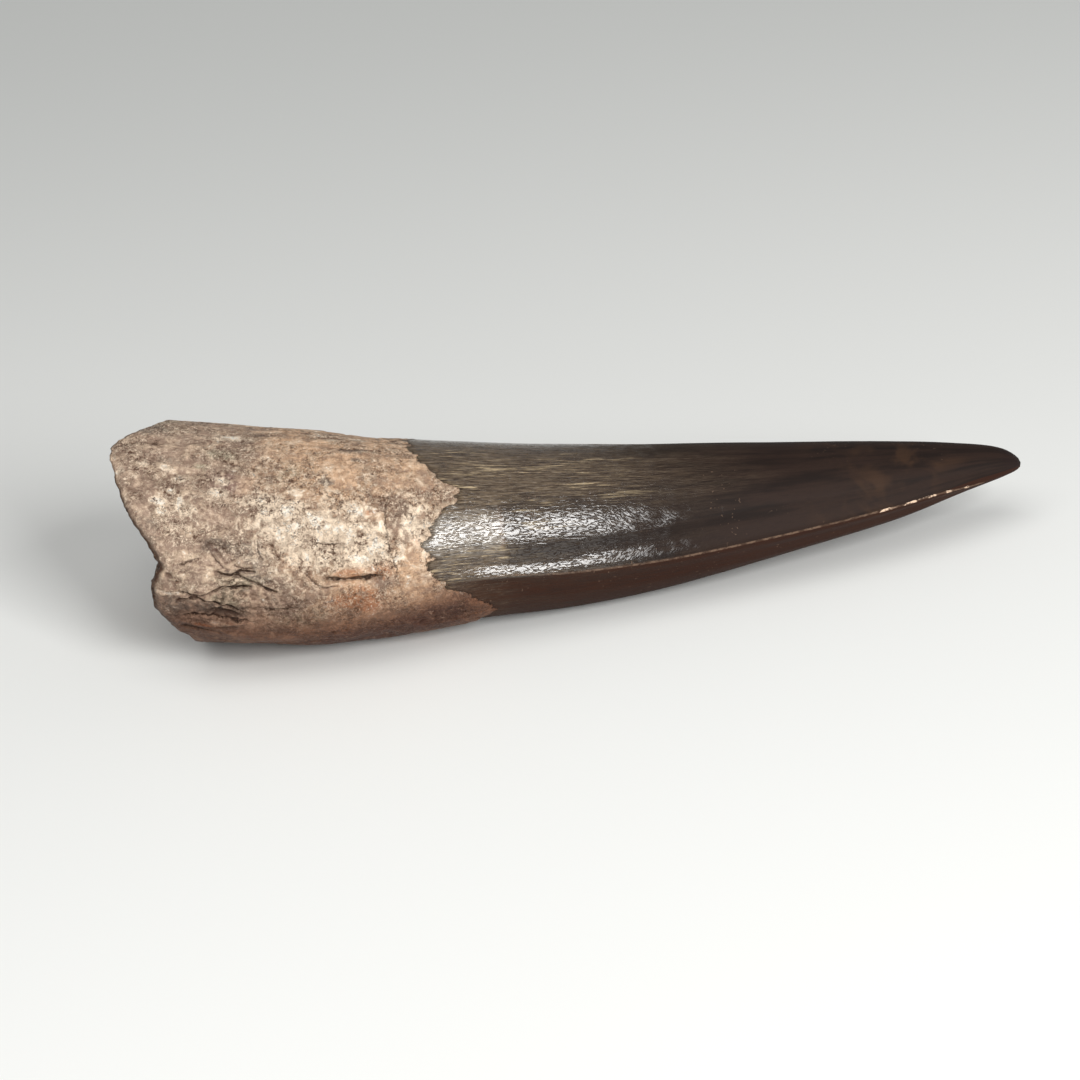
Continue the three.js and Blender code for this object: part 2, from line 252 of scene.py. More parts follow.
# %% Distance to a line
def offset_from_path(at, deg, path, radius):
    """Millimetres to a path of (at, deg) points on the unrolled surface: the least distance to any of
    its straight pieces. Also the signed offset across that piece, and the distance to the ends."""
    millimetres = np.radians(1) * radius
    nearest, across = np.full(at.shape, np.inf), np.zeros(at.shape)
    for (at_0, deg_0), (at_1, deg_1) in zip(path, path[1:]):
        start_x, start_y = at_0 - at, turn_between(deg_0, deg) * millimetres
        along_x, along_y = at_1 - at_0, turn_between(deg_1, deg_0) * millimetres
        reach = -(start_x * along_x + start_y * along_y) / (along_x ** 2 + along_y ** 2)
        t = np.clip(reach, 0, 1)
        distance = np.hypot(start_x + along_x * t, start_y + along_y * t)
        offset = (start_x * along_y - start_y * along_x) / np.hypot(along_x, along_y)
        across = np.where(distance < nearest, offset, across)
        nearest = np.minimum(nearest, distance)
    ends = [np.hypot(end_at - at, turn_between(end_deg, deg) * millimetres)
            for end_at, end_deg in (path[0], path[-1])]
    return nearest, across, np.minimum(*ends)


# %% Carve the lines
MESH_WIDTH = 0.12
LINE_WANDER = 0.17
SEAM_REACH = (0.36, 0.2)
PAST_END = 0.15
SEAM_TAPER = 0.7
NO_SEAM = 9.0


def carve_lines(at, deg, radius, place):
    """Ridges less seams, each height * bell(distance), where every line wanders by noise. Also the
    signed offset from the nearest seam, and the half-width that it has there: 0 past its ends and
    a third of a millimetre beside it."""
    bent_at = at + LINE_WANDER * layered_noise(place * 0.9, 11, 3)
    bent_deg = deg + np.degrees(LINE_WANDER * layered_noise(place * 0.9 + 40, 14, 3) / radius)
    thickness = np.clip(0.85 + 0.9 * noise(place * 0.8, 17), 0.3, 1.7)
    relief, width = np.zeros(at.shape), np.zeros(at.shape)
    nearest, across = np.full(at.shape, NO_SEAM), np.full(at.shape, NO_SEAM)
    for path, half_width, depth in SEAMS:
        distance, offset, to_end = offset_from_path(bent_at, bent_deg, path, radius)
        relief -= depth * bell(distance, half_width + MESH_WIDTH)
        beside = ramp(-distance, -SEAM_REACH[0], -SEAM_REACH[1])
        beside = beside * ramp(np.abs(offset) - distance, -PAST_END, 0)
        taper = 0.2 + 0.8 * ramp(to_end, 0, SEAM_TAPER)
        width = np.where(distance < nearest, half_width * thickness * taper * beside, width)
        across = np.where(distance < nearest, offset, across)
        nearest = np.minimum(nearest, distance)
    for path, half_width, rise in RIDGES:
        distance, _, _ = offset_from_path(bent_at, bent_deg, path, radius)
        relief += rise * thickness * bell(distance, half_width)
    return relief, (across, width)


print("a seam is drawn up to", SEAM_REACH[0], "mm from its line")

# %% [markdown]
# ## The grain of the root
# Between the cracks the surface is never flat. We add five kinds of relief: long fibres, crusts that
# flaked off along ragged edges, crumbs with sharp creases between them, a patch whose layers
# stand like stairs, and clusters of pits.

# %% Grain
FRONT_FLAKES, BACK_FLAKES = (9.8, -3), (7.5, 215)
FLAKED_HALF_LENGTH, FLAKED_HALF_WIDTH = 4.6, 3.9
FLAKE_PITCH, FLAKE_HEIGHT = 2.3, 0.5
FIBRE_HEIGHT, CRUMB_HEIGHT, PIT_DEPTH = 0.025, 0.09, 0.16


def crusts(place):
    """Two layers of even thickness: each ends where smooth noise passes a level."""
    lie = layered_noise(place * [0.13, 0.24, 0.24], 45, 6)
    return 0.07 * ramp(lie, -0.14, -0.09) + 0.06 * ramp(lie, 0.2, 0.25) - 0.06


def crumbs(place):
    """The absolute value of noise: rounded grains between creases, at two sizes."""
    bent = place + 0.25 * noise(place * 0.8, 60)[..., None]
    return np.abs(noise(bent * 1.15, 61)) + 0.5 * np.abs(noise(bent * 2.1, 62)) - 0.35


def flake_patch(at, deg, radius, place, patch_at, patch_deg):
    """Stairs across the patch: the height rises slowly over each tread and then drops."""
    across = turn_between(deg, patch_deg) * np.radians(1) * radius
    patch = bell(at - patch_at, FLAKED_HALF_LENGTH) * bell(across, FLAKED_HALF_WIDTH)
    stairs = across / FLAKE_PITCH + 0.9 * layered_noise(place * [0.35, 0.5, 0.5], 41, 5)
    tread = stairs - np.floor(stairs)
    return FLAKE_HEIGHT * patch * (tread - ramp(tread, 0.82, 1.0) - 0.45), patch


def root_relief(at, deg, radius, place):
    """Height above the plain oval: crusts, swells, dents, lines, fibres, crumbs and flakes, less
    pits. Also the nearest seam's offset and half-width."""
    turn = np.radians(deg)
    height = crusts(place)
    for swell, along, around, phase in SWELLS:
        height += swell * np.sin(2 * np.pi * along * at / LENGTH + around * turn + phase)
    for dent_at, dent_deg, half_length, half_width, dent_height in DENTS:
        across = turn_between(deg, dent_deg) * np.radians(1) * radius
        height += dent_height * bell(at - dent_at, half_length) * bell(across, half_width)

    lines, seam = carve_lines(at, deg, radius, place)
    fibres = FIBRE_HEIGHT * layered_noise(place * [0.2, 1.0, 1.0], 21, 3)
    front_flakes, front_patch = flake_patch(at, deg, radius, place, *FRONT_FLAKES)
    back_flakes, back_patch = flake_patch(at, deg, radius, place, *BACK_FLAKES)
    crumbly = 0.3 + 0.4 * ramp(noise(place * 0.2, 63), -0.1, 0.5) + front_patch + back_patch
    pitted = ramp(noise(place * 0.33, 51), 0.1, 0.6)
    pits = PIT_DEPTH * pitted * ramp(noise(place * [1.5, 2.0, 2.0], 52), 0.35, 0.7)
    height += lines + fibres + CRUMB_HEIGHT * crumbly * crumbs(place) + front_flakes + back_flakes - pits
    return height, seam


print("flakes", FLAKE_HEIGHT, "mm high, every", FLAKE_PITCH, "mm")

# %% [markdown]
# ## The crown
# Enamel is smooth, so the crown's own relief is small: down each side runs a fine cutting edge (a
# carina) on a low keel. The keel matters more than its height of half a millimetre suggests.
# Its upper flank faces the light, so that it shines as a second band beside the broad one. It starts
# narrow at the neck and widens along the crown, so we give two profiles and ease between them.

# %% Relief of the crown
KEEL = np.array([
    # distance from the carina, height at the neck, height from the middle on
    [0, 0.40, 0.46], [0.2, 0.31, 0.45], [0.5, 0.16, 0.40], [0.8, 0.01, 0.28], [1.1, -0.11, 0.13],
    [1.4, -0.14, 0.0], [1.75, -0.13, -0.12], [2.2, -0.09, -0.16], [2.8, -0.03, -0.12], [3.6, 0, 0],
    [40, 0, 0],
])
KEEL_FROM, KEEL_TO = 30, 38
WIDENS_FROM, WIDENS_TO = 40, 50
KEEL_FADES_FROM = 90
CARINA_HALF_WIDTH = 0.28
CARINA_TURN, CARINA_TURNS_FROM, CARINA_TURNS_TO = 2.2, 38, 46
CARINA_DROP, CARINA_DROP_FROM = 25, 84
FULL_KEEL_HALF_DEPTH = 6


def carina_arc(at, deg, half_depth):
    """Millimetres round the tooth to the nearer carina. Near the tip both swing down."""
    drop = CARINA_TURN * ramp(at, CARINA_TURNS_FROM, CARINA_TURNS_TO)
    drop = drop + CARINA_DROP * ramp(at, CARINA_DROP_FROM, LENGTH)
    front = np.abs(turn_between(deg, -drop))
    back = np.abs(turn_between(deg, 180 + drop))
    return np.radians(np.minimum(front, back)) * half_depth


def crown_relief(at, deg, half_depth):
    """The keel's height at each distance from the carina: the neck's profile eased into the middle's,
    shrunk with the section, fading in and out at its ends. Also how close the carina is."""
    strength = ramp(at, KEEL_FROM, KEEL_TO) * (1 - ramp(at, KEEL_FADES_FROM, LENGTH))
    arc = carina_arc(at, deg, half_depth)
    room = np.clip(half_depth / FULL_KEEL_HALF_DEPTH, 0.1, 1)
    distances, neck_heights, middle_heights = KEEL.T
    neck, full = [smooth_curve(distances, ys, arc / room) for ys in (neck_heights, middle_heights)]
    keel = neck + (full - neck) * ramp(at, WIDENS_FROM, WIDENS_TO)
    return strength * room * keel, strength * bell(arc, CARINA_HALF_WIDTH)


print("the keel is", KEEL[0, 1], "mm high at the neck and", KEEL[0, 2], "mm further on")

# %% [markdown]
# ## The skin as a grid
# The surface is a function of two parameters: the share of the way from the rim of the break to the
# tip, and the angle. Columns crowd towards the carinae, so that a line of corners runs along each,
# and rows crowd on the root, where the fine relief is.

# %% The grid
COLUMNS = 360
ROOT_ROWS, CROWN_ROWS = 168, 62
ROOT_SHARE = 0.4
TIP_CROWDING = 1.35
CARINA_CROWDING = 0.55

even = np.arange(COLUMNS) / COLUMNS
column_deg = 360 * (even - CARINA_CROWDING / (4 * np.pi) * np.sin(4 * np.pi * even))
crown_steps = 1 - (1 - np.arange(CROWN_ROWS) / CROWN_ROWS) ** TIP_CROWDING
row_share = np.concatenate([
    np.linspace(0, ROOT_SHARE, ROOT_ROWS, endpoint=False),
    ROOT_SHARE + (1 - ROOT_SHARE) * crown_steps,
])
ROWS = len(row_share)
print(ROWS, "rows of", COLUMNS, "corners")

# %% The surface
CHIP_HEIGHT, CHIP_CIRCLE = 0.22, 11
ENAMEL_FRAY = 0.55


def rim_at(deg):
    """The rim of the break: the eased curve plus fine chips."""
    turn = np.radians(deg)
    circle = np.stack([np.cos(turn) * CHIP_CIRCLE, np.sin(turn) * CHIP_CIRCLE, 0 * turn], axis=-1)
    return round_curve(BREAK_RIM, deg) + CHIP_HEIGHT * layered_noise(circle * 0.7, 61, 4)


def plain_surface(at, deg):
    """The oval: (at, y - half-width * cos(deg), z + half-depth * sin(deg)), and its normal."""
    half_width, half_depth, y, z = section(at)
    turn = np.radians(deg)
    place = np.stack([at, y - half_width * np.cos(turn), z + half_depth * np.sin(turn)], axis=-1)
    normal = np.stack([0 * at, -half_depth * np.cos(turn), half_width * np.sin(turn)], axis=-1)
    size = np.maximum(np.linalg.norm(normal, axis=-1, keepdims=True), 1e-9)
    return place, normal / size, (half_width + half_depth) / 2, half_depth


def past_enamel_edge(at, deg, place):
    """Millimetres past the enamel's edge, which frays by a few tenths: below 0 on the root."""
    fray = ENAMEL_FRAY * layered_noise(place * [0.5, 0.9, 0.9], 71, 4)
    return at - round_curve(ENAMEL_EDGE, deg) + fray


# %% Lay the relief on it
ENAMEL_STEP = 0.18
ENAMEL_BLEND = 0.22
SMOOTH_BELLY = (15, 40)
SWELL_ON_CROWN = 0.1
FULL_RELIEF_RADIUS = 3

rim = rim_at(column_deg)
at = rim + (LENGTH - rim) * row_share[:, None]
deg = np.broadcast_to(column_deg, at.shape)
place, normal, radius, half_depth = plain_surface(at, deg)
enamel = past_enamel_edge(at, deg, place)
on_root = 1 - ramp(enamel, -ENAMEL_BLEND, ENAMEL_BLEND)
off_belly = ramp(np.abs(turn_between(deg, 270)), *SMOOTH_BELLY)
root_height, seam = root_relief(at, deg, radius, place)
crown_height, carina = crown_relief(at, deg, half_depth)
root_part = root_height * (on_root + SWELL_ON_CROWN * (1 - on_root)) * (0.25 + 0.75 * off_belly)
crown_part = (crown_height - ENAMEL_STEP * (1 - on_root)) * np.minimum(1, radius / FULL_RELIEF_RADIUS)
relief = root_part + crown_part
skin = place + normal * relief[..., None]
print("relief from", relief.min().round(2), "to", relief.max().round(2), "mm")

# %% [markdown]
# ## The broken face
# The root snapped across. What shows is a wall of dentine about four millimetres thick, and inside
# it the pulp cavity, which sandy minerals filled in the ground and which lies a little deeper. The
# rings of this face shrink from the rim to one point, and share the rim's corners.

# %% The broken face
BREAK_ROUNDING, ROUNDING_WIDTH = 0.75, 0.5
CRISP_RIM_DEG, CRISP_RIM_HALF_TURN = 90, 35
BREAK_MIDDLE_AT = 4.4
PULP_AT = 5.4
FACE_CURVE = 1.7
PULP_SHARE = (0.54, 0.62)
BREAK_RINGS = 34
ring_share = 1 - np.arange(1, BREAK_RINGS + 1) / BREAK_RINGS
middle_width, middle_depth, middle_y, middle_z = section(np.array(BREAK_MIDDLE_AT))
middle = np.array([0, middle_y, middle_z])

# The first rows lean in a little, so that the rim is worn instead of sharp. It is crisper on top.
from_rim = at - rim
crisp_rim = bell(turn_between(deg, CRISP_RIM_DEG), CRISP_RIM_HALF_TURN)
rounding = BREAK_ROUNDING * (1 - 0.6 * crisp_rim)
inwards = (middle - skin) * [0, 1, 1] / ((middle_width + middle_depth) / 2)
skin = skin + inwards * (rounding * bell(from_rim, ROUNDING_WIDTH))[..., None]


def broken_face(share, deg, rim_points):
    """A point a share of the way out from the middle to the rim. Its depth follows the share to the
    power FACE_CURVE, drops into the pulp cavity, and is rough all over."""
    flat = middle + (rim_points - middle) * share[..., None]
    wobble = 0.05 * layered_noise(flat * 0.45, 81, 2)
    in_pulp = 1 - ramp(share + wobble, *PULP_SHARE)
    wall = BREAK_MIDDLE_AT + (rim_points[..., 0] - BREAK_MIDDLE_AT) * share ** FACE_CURVE
    rough = 0.35 * layered_noise(flat * 0.5, 82, 3) + 0.12 * layered_noise(flat * 1.9, 85, 3)
    depth = wall + (PULP_AT - wall) * in_pulp + rough * ramp(1 - share, 0, 0.12)
    return np.concatenate([depth[..., None], flat[..., 1:]], axis=-1), in_pulp


share_grid = np.broadcast_to(ring_share[:-1, None], (BREAK_RINGS - 1, COLUMNS))
face, pulp = broken_face(share_grid, column_deg, skin[0][None])
heart, heart_pulp = broken_face(np.array([0.0]), np.array([0.0]), skin[0][:1])
tip = np.array([[LENGTH, *[float(part) for part in section(np.array(LENGTH))[2:]]]])
print("the broken face has", face.shape[0], "rings")

# %% [markdown]
# ## One closed mesh
# The corners go into the mesh in one go, in this order: the skin, the tip, the rings of the broken
# face and its middle. Then the whole skin is set on the solid's own box, and whatever of the belly
# lies under the floor is flattened, which gives the worn spot that the tooth rests on.


# %% Corners and faces
def grid_faces(first, second):
    """Quads between two closed rows of corners, given by their numbers."""
    beside_first, beside_second = np.roll(first, -1, axis=-1), np.roll(second, -1, axis=-1)
    return np.stack([first, second, beside_second, beside_first], axis=-1).reshape(-1, 4)


def fan_faces(row, point, forwards):
    """Triangles from a closed row to one point."""
    beside = np.roll(row, -1)
    middle_number = np.full(len(row), point)
    order = [row, middle_number, beside] if forwards else [row, beside, middle_number]
    return np.stack(order, axis=-1)


WORN_SPOT_DEPTH = 0.45

corners = np.concatenate([skin.reshape(-1, 3), tip, face.reshape(-1, 3), heart])
skin_count = ROWS * COLUMNS
skin_rows = np.arange(skin_count).reshape(ROWS, COLUMNS)
face_rows = skin_count + 1 + np.arange(face.shape[0] * COLUMNS).reshape(-1, COLUMNS)
ring_rows = np.concatenate([skin_rows[:1], face_rows])
quads = np.concatenate([
    grid_faces(skin_rows[:-1], skin_rows[1:]),
    grid_faces(ring_rows[1:], ring_rows[:-1]),
])
triangles = np.concatenate([
    fan_faces(skin_rows[-1], skin_count, True),
    fan_faces(ring_rows[-1], len(corners) - 1, False),
])

corners[:, 2] = np.maximum(0, corners[:, 2] - WORN_SPOT_DEPTH)
low, high = corners.min(axis=0), corners.max(axis=0)
shift = ((cad_low + cad_high) / 2 - (low + high) / 2)[:2]
corners[:, :2] += shift
print("skin box", np.round(high - low, 2), "mm;", len(quads) * 2 + len(triangles), "triangles")


# %% Build the mesh
def build_mesh(name, points, quads, triangles):
    """A mesh object at the origin from arrays of corners, quads and triangles."""
    mesh = bpy.data.meshes.new(name)
    mesh.vertices.add(len(points))
    mesh.vertices.foreach_set("co", np.ascontiguousarray(points, dtype=np.float32).ravel())
    loops = np.concatenate([quads.ravel(), triangles.ravel()]).astype(np.int32)
    sizes = np.concatenate([np.full(len(quads), 4), np.full(len(triangles), 3)])
    starts = np.concatenate([[0], np.cumsum(sizes)[:-1]]).astype(np.int32)
    mesh.loops.add(len(loops))
    mesh.loops.foreach_set("vertex_index", loops)
    mesh.polygons.add(len(sizes))
    mesh.polygons.foreach_set("loop_start", starts)
    mesh.polygons.foreach_set("use_smooth", np.ones(len(sizes), dtype=bool))
    mesh.update(calc_edges=True)
    mesh.validate()
    piece = bpy.data.objects.new(name, mesh)
    bpy.context.scene.collection.objects.link(piece)
    return piece


tooth_skin = build_mesh("tooth_skin", corners * MM, quads, triangles)
print("mesh:", len(tooth_skin.data.vertices), "corners, moved by", np.round(shift, 2), "mm")

# %% [markdown]
# ## What the finish reads from the mesh
# The finish needs to know where it is: on the root or on the enamel, near a seam, on the worn edge
# of a carina, and in which of the stains. Each of these is a number at every corner, stored as an
# attribute. The stains are soft ovals here, a few of them partly painted highlight and painted shade,
# and the shader frays them with its own noise.

# %% Stains, painted highlight and painted shade
# Cream flecks and patches. The largest oval lies along the broad bright band and is partly a painted
# highlight.
CREAM_AND_HIGHLIGHT = [
    # at, deg, half-length, half-width, strength
    (20, 33, 6.6, 4.0, 1.0), (24.5, 22, 3.0, 2.0, 0.5), (16.5, 44, 2.4, 2.4, 0.6),
    (12.1, 92.5, 1.9, 0.6, 1.1), (14.4, 51, 1.8, 0.6, 0.8), (4.2, 47, 0.8, 0.35, 1.9),
    (5.7, 53, 0.45, 0.4, 1.7), (6.8, 44, 0.9, 0.8, 1.3), (6.8, 61, 0.5, 0.4, 1.8),
    (5.5, 66, 0.5, 0.35, 1.6), (1.0, 62, 0.6, 0.35, 1.3), (3.0, 66, 1.3, 0.4, 0.9),
    (4.4, 41, 0.6, 0.4, 1.3), (11.2, 61, 0.6, 0.4, 1.3), (10.5, 54, 0.8, 0.5, 1.1),
    (14.3, 56, 0.4, 0.3, 1.2), (4.1, -2.5, 1.1, 0.25, 1.7), (22.8, 96, 0.6, 0.3, 1.5),
    (23.5, 100, 4.0, 0.5, 0.6), (30, 33, 2.0, 3.4, 0.65), (9.0, -21, 2.0, 0.28, 1.3),
    (7.5, 3, 2.4, 2.0, 0.35), (18, 200, 6.0, 4.0, 0.7), (8, 160, 2.0, 1.5, 0.6),
    (25, 240, 3.0, 2.0, 0.5), (11, 118, 2.5, 1.0, 0.5), (27, 140, 2.5, 2.0, 0.5),
]
RUST = [
    (23, -5, 3.2, 2.0, 1.0), (22.5, 12, 2.2, 0.9, 0.9), (26, 12, 1.4, 1.3, 0.8),
    (25.4, 44.5, 0.6, 0.35, 1.0), (7.4, -24.5, 2.0, 0.3, 0.9), (10, -20, 1.0, 0.3, 0.8),
    (8.5, 76, 1.0, 0.25, 0.6), (29.6, 26, 1.4, 1.4, 0.55), (31.5, 56, 1.8, 0.7, 0.6),
    (22, 185, 3.0, 2.0, 0.8), (12, 225, 2.5, 1.5, 0.7), (28, 215, 2, 2, 0.5), (17, 125, 3.0, 1.4, 0.5),
    (12, 20, 1.4, 2.0, 0.3),
]
PURPLE = [
    (11.2, 60, 1.8, 1.7, 1.0), (13.8, 25, 0.55, 1.8, 1.0), (14.6, 40, 0.5, 1.6, 0.6),
    (18.6, 7, 1.0, 1.6, 0.5), (24, -40, 9.0, 3.6, 0.55), (33, -24, 4.5, 3.6, 0.6),
    (9.3, 24, 1.0, 1.0, 0.6), (6.6, -13, 1.0, 0.6, 0.4), (16, 150, 2.5, 2.0, 0.7),
    (22, 300, 8.0, 6.0, 0.6), (8, 290, 4.0, 4.0, 0.6), (30, 255, 4.0, 4.0, 0.6),
]
# Grey stains. The ovals in the hollow at 9 mm and 26 degrees, in the pit at 9.5 mm and -14 degrees, and
# beside the cracks of the flaked patch also paint shade.
GREY_AND_SHADE = [
    (9.0, 26, 1.7, 1.0, 0.8), (9.5, -14, 1.5, 0.45, 2.0), (3.0, 33, 2.5, 2.5, 0.5),
    (5.0, 72, 4.2, 1.4, 0.5), (21.5, 62, 1.2, 0.6, 0.9), (24.2, 84, 2.2, 0.6, 0.9),
    (25.0, 77, 0.7, 0.4, 1.0), (17, 97, 6.0, 0.7, 0.5), (4.5, -12, 2.0, 3.0, 0.6),
    (16.5, 30, 0.8, 0.8, 0.6), (9, 205, 3.5, 3.0, 0.8), (3.5, 96, 3.5, 2.0, 0.8),
    (11.2, 11, 1.8, 0.5, 1.4), (12.8, 7, 1.5, 0.5, 1.3), (10.5, 2, 1.6, 0.4, 1.1),
    (9.8, -9, 1.5, 0.4, 1.2), (12.5, 33, 2.0, 2.4, 0.35), (15.5, -4, 3.0, 2.0, 0.4),
    (13.0, 20, 3.0, 2.4, 0.55), (8.0, -11, 3.2, 1.6, 0.5), (6.5, -30, 3.0, 1.5, 0.5),
    (18.5, 41, 0.7, 0.5, 0.7), (20, 140, 4.0, 2.0, 0.5), (28, 180, 2.0, 3.0, 0.4),
]
GREENISH = [
    (11.4, 78, 1.5, 0.9, 1.2), (11.0, 6, 2.2, 0.9, 1.1), (9.8, -4.5, 1.9, 1.0, 1.0),
    (17.5, 68, 3.0, 1.6, 0.5), (9.0, 69, 1.4, 0.8, 0.6), (17.5, -14, 3.5, 2.0, 0.6),
    (6, 105, 3.0, 2.0, 0.5), (14, 222, 3.0, 2.0, 0.7),
]


def oval_patches(at, deg, radius, ovals):
    """The sum of strength * bell(along) * bell(across) over a list of ovals."""
    total = np.zeros(at.shape)
    for oval_at, oval_deg, half_length, half_width, strength in ovals:
        across = turn_between(deg, oval_deg) * np.radians(1) * radius
        total += strength * bell(at - oval_at, half_length) * bell(across, half_width)
    return np.clip(total, 0, 2)


cream_and_highlight, rust, purple, grey_and_shade, greenish = [
    oval_patches(at, deg, radius, ovals) for ovals in (CREAM_AND_HIGHLIGHT, RUST, PURPLE, GREY_AND_SHADE, GREENISH)
]
print("cream reaches", cream_and_highlight.max().round(2), "and rust", rust.max().round(2))


# %% Hollows and painted belly shade
def box_blur(values, reach):
    """The mean over a square of neighbours on the grid. Columns wrap round, and end rows repeat."""
    padded = np.pad(values, ((reach, reach), (0, 0)), mode="edge")
    rows = sum(padded[i:i + len(values)] for i in range(2 * reach + 1)) / (2 * reach + 1)
    return sum(np.roll(rows, i, axis=1) for i in range(-reach, reach + 1)) / (2 * reach + 1)


def depth_below(height, reach, full_depth):
    """How far a corner lies below the mean of its neighbours: 1 at the full depth, -1 on a crest."""
    return np.clip((box_blur(height, reach) - height) / full_depth, -1, 1)


BELLY_SHADE_CHANGES = (30, 37)

hollow = depth_below(relief, 2, 0.05)
basin_shade = depth_below(relief, 9, 0.25)
# The broken face looks the other way, so what lies further along the tooth is lower there.
face_hollow = depth_below(-face[..., 0], 2, 0.08)
turn = np.radians(deg)
# Painted shade: the belly is darkened, up to a little above the middle on the root and only below the
# carina on the crown.
root_belly_shade = 1 - ramp(np.sin(turn), -0.5, 0.22)
crown_belly_shade = 1 - ramp(np.sin(turn), -0.06, 0.0)
belly_shade = root_belly_shade + (crown_belly_shade - root_belly_shade) * ramp(at, *BELLY_SHADE_CHANGES)
print("hollow corners:", f"{(hollow > 0.5).mean():.1%}")

# %% Lines of flow and marks of the crown
FLOW_RADIUS = 8.0
flow = np.stack([at, FLOW_RADIUS * np.cos(turn), FLOW_RADIUS * np.sin(turn)], axis=-1)

RISING_SLOPE, FALLING_SLOPE = 0.9, -0.8
# distance of the strip's middle from the carina, half-width, and where it starts, is full, fades, ends
RISING_STRIP = (1.0, 1.2, 46, 52, 64, 72)
FALLING_STRIP = (5.0, 1.6, 47, 52, 62, 70)
SHEEN_BAND_DEG, SHEEN_BAND_HALF_TURN = 29, (6, 22)
GAP_MIDDLE, GAP_HALF_WIDTH, GAP_STARTS = 2.7, 1.5, (37.5, 41)
SHADE_UNDER_SHINE_SHARE, SHADE_UNDER_SHINE_STARTS = 0.65, (38.2, 39.4)
BAND_SHADE_FADES = (55, 65)
CARINA_NICKS = [(79.6, 0.8), (82.7, 1.2), (85.1, 0.7), (87.2, 0.5), (89.0, 0.4), (74.2, 0.25)]

arc = carina_arc(at, deg, half_depth)
# The noise reads this third coordinate too, so that no two quarters of the tooth show the same.
side = 30 * (np.cos(turn) > 0) + 10 * (np.sin(turn) > 0)


def slanted(slope):
    """Coordinates along and across lines that leave the carina with this slope."""
    length = np.hypot(1, slope)
    return (at + slope * arc) / length, (arc - slope * at) / length, side


def strip(middle, half_width, start, full, fades, end):
    """A strip beside the carina: a bell across it, eased in and out along the tooth."""
    return bell(arc - middle, half_width) * ramp(at, start, full) * (1 - ramp(at, fades, end))


nicks = sum(bell(at - nick_at, half_length) for nick_at, half_length in CARINA_NICKS)
sheen_band = 1 - ramp(np.abs(turn_between(deg, SHEEN_BAND_DEG)), *SHEEN_BAND_HALF_TURN)
# Painted shade: the gap between the two bright bands, and the enamel under the broad one, are darkened.
gap_shade = bell(arc - GAP_MIDDLE, GAP_HALF_WIDTH) * ramp(at, *GAP_STARTS)
shade_under_shine = SHADE_UNDER_SHINE_SHARE * ramp(arc, 0.4, 1.6) * (1 - ramp(arc, 7.0, 9.5))
shade_under_shine = shade_under_shine * ramp(at, *SHADE_UNDER_SHINE_STARTS)
band_shade = np.maximum(gap_shade, shade_under_shine) * (1 - ramp(at, *BAND_SHADE_FADES))
print(len(CARINA_NICKS), "nicks in the carina")


# %% Store them on the mesh
def with_face(on_skin, at_tip, on_face, at_heart):
    """Values for all corners, in the order of the mesh."""
    parts = [np.asarray(part, dtype=float) for part in (on_skin, at_tip, on_face, at_heart)]
    width = parts[0].shape[2:]
    return np.concatenate([part.reshape((-1, *width)) for part in parts])


def store(piece, name, values):
    """A number or a vector for every corner of the mesh."""
    kind, slot = ("FLOAT_VECTOR", "vector") if values.ndim > 1 else ("FLOAT", "value")
    layer = piece.data.attributes.new(name, kind, "POINT")
    layer.data.foreach_set(slot, np.ascontiguousarray(values, dtype=np.float32).ravel())


def store_three(piece, name, first, second, third, blank=(0, 0, 0)):
    """Three numbers for every corner of the skin as one vector, and blank for the broken face."""
    on_skin = np.stack([first, second, third], axis=-1)
    blank = np.array(blank)
    on_face = np.broadcast_to(blank, (*face.shape[:2], 3))
    store(piece, name, with_face(on_skin, blank[None, None], on_face, blank[None, None]))


AT_TIP, OFF_ENAMEL = 60, -8
FACE_SHIFT = 30

nothing = np.zeros(face.shape[:2])
seam_across, seam_half_width = seam
store(tooth_skin, "enamel", with_face(enamel, [AT_TIP], nothing + OFF_ENAMEL, [OFF_ENAMEL]))
store_three(tooth_skin, "seam", seam_across, seam_half_width * on_root, sheen_band, (NO_SEAM, 0, 0))
store(tooth_skin, "hollow", with_face(hollow, [0], face_hollow, [0]))
store(tooth_skin, "pulp", with_face(at * 0, [0], pulp, heart_pulp))
# The colour of the break reaches a little past the rim, but not on top, where the rim is crisp.
edge_width = 0.25 + 0.25 * noise(place * 0.35, 91) - 0.7 * crisp_rim
broken_edge = 1 - ramp(from_rim, edge_width, edge_width + 0.25)
store(tooth_skin, "broken", with_face(broken_edge, [0], nothing + 1, [1]))
store(tooth_skin, "flow", with_face(flow, flow[-1, :1], face + FACE_SHIFT, heart[None] + FACE_SHIFT))
store_three(tooth_skin, "warm_stains_and_highlight", cream_and_highlight, rust, purple)
store_three(tooth_skin, "cold_stains_and_shade", grey_and_shade, greenish, belly_shade)
store_three(tooth_skin, "crown_marks", carina, strip(*RISING_STRIP), strip(*FALLING_STRIP))
store_three(tooth_skin, "rising", *slanted(RISING_SLOPE))
store_three(tooth_skin, "falling", *slanted(FALLING_SLOPE))
store_three(tooth_skin, "shades_and_nicks", basin_shade, nicks * (np.cos(turn) > 0), band_shade)
print("attributes:", [layer.name for layer in tooth_skin.data.attributes])

# %% [markdown]
# ## A helper for shader nodes
# A shader is a graph, and a long one is hard to follow when each node takes five lines. So one small
# class adds the nodes, and another stands for what comes out of them. Wires can be added, subtracted,
# multiplied and divided as numbers can, so that the material below reads like sums.


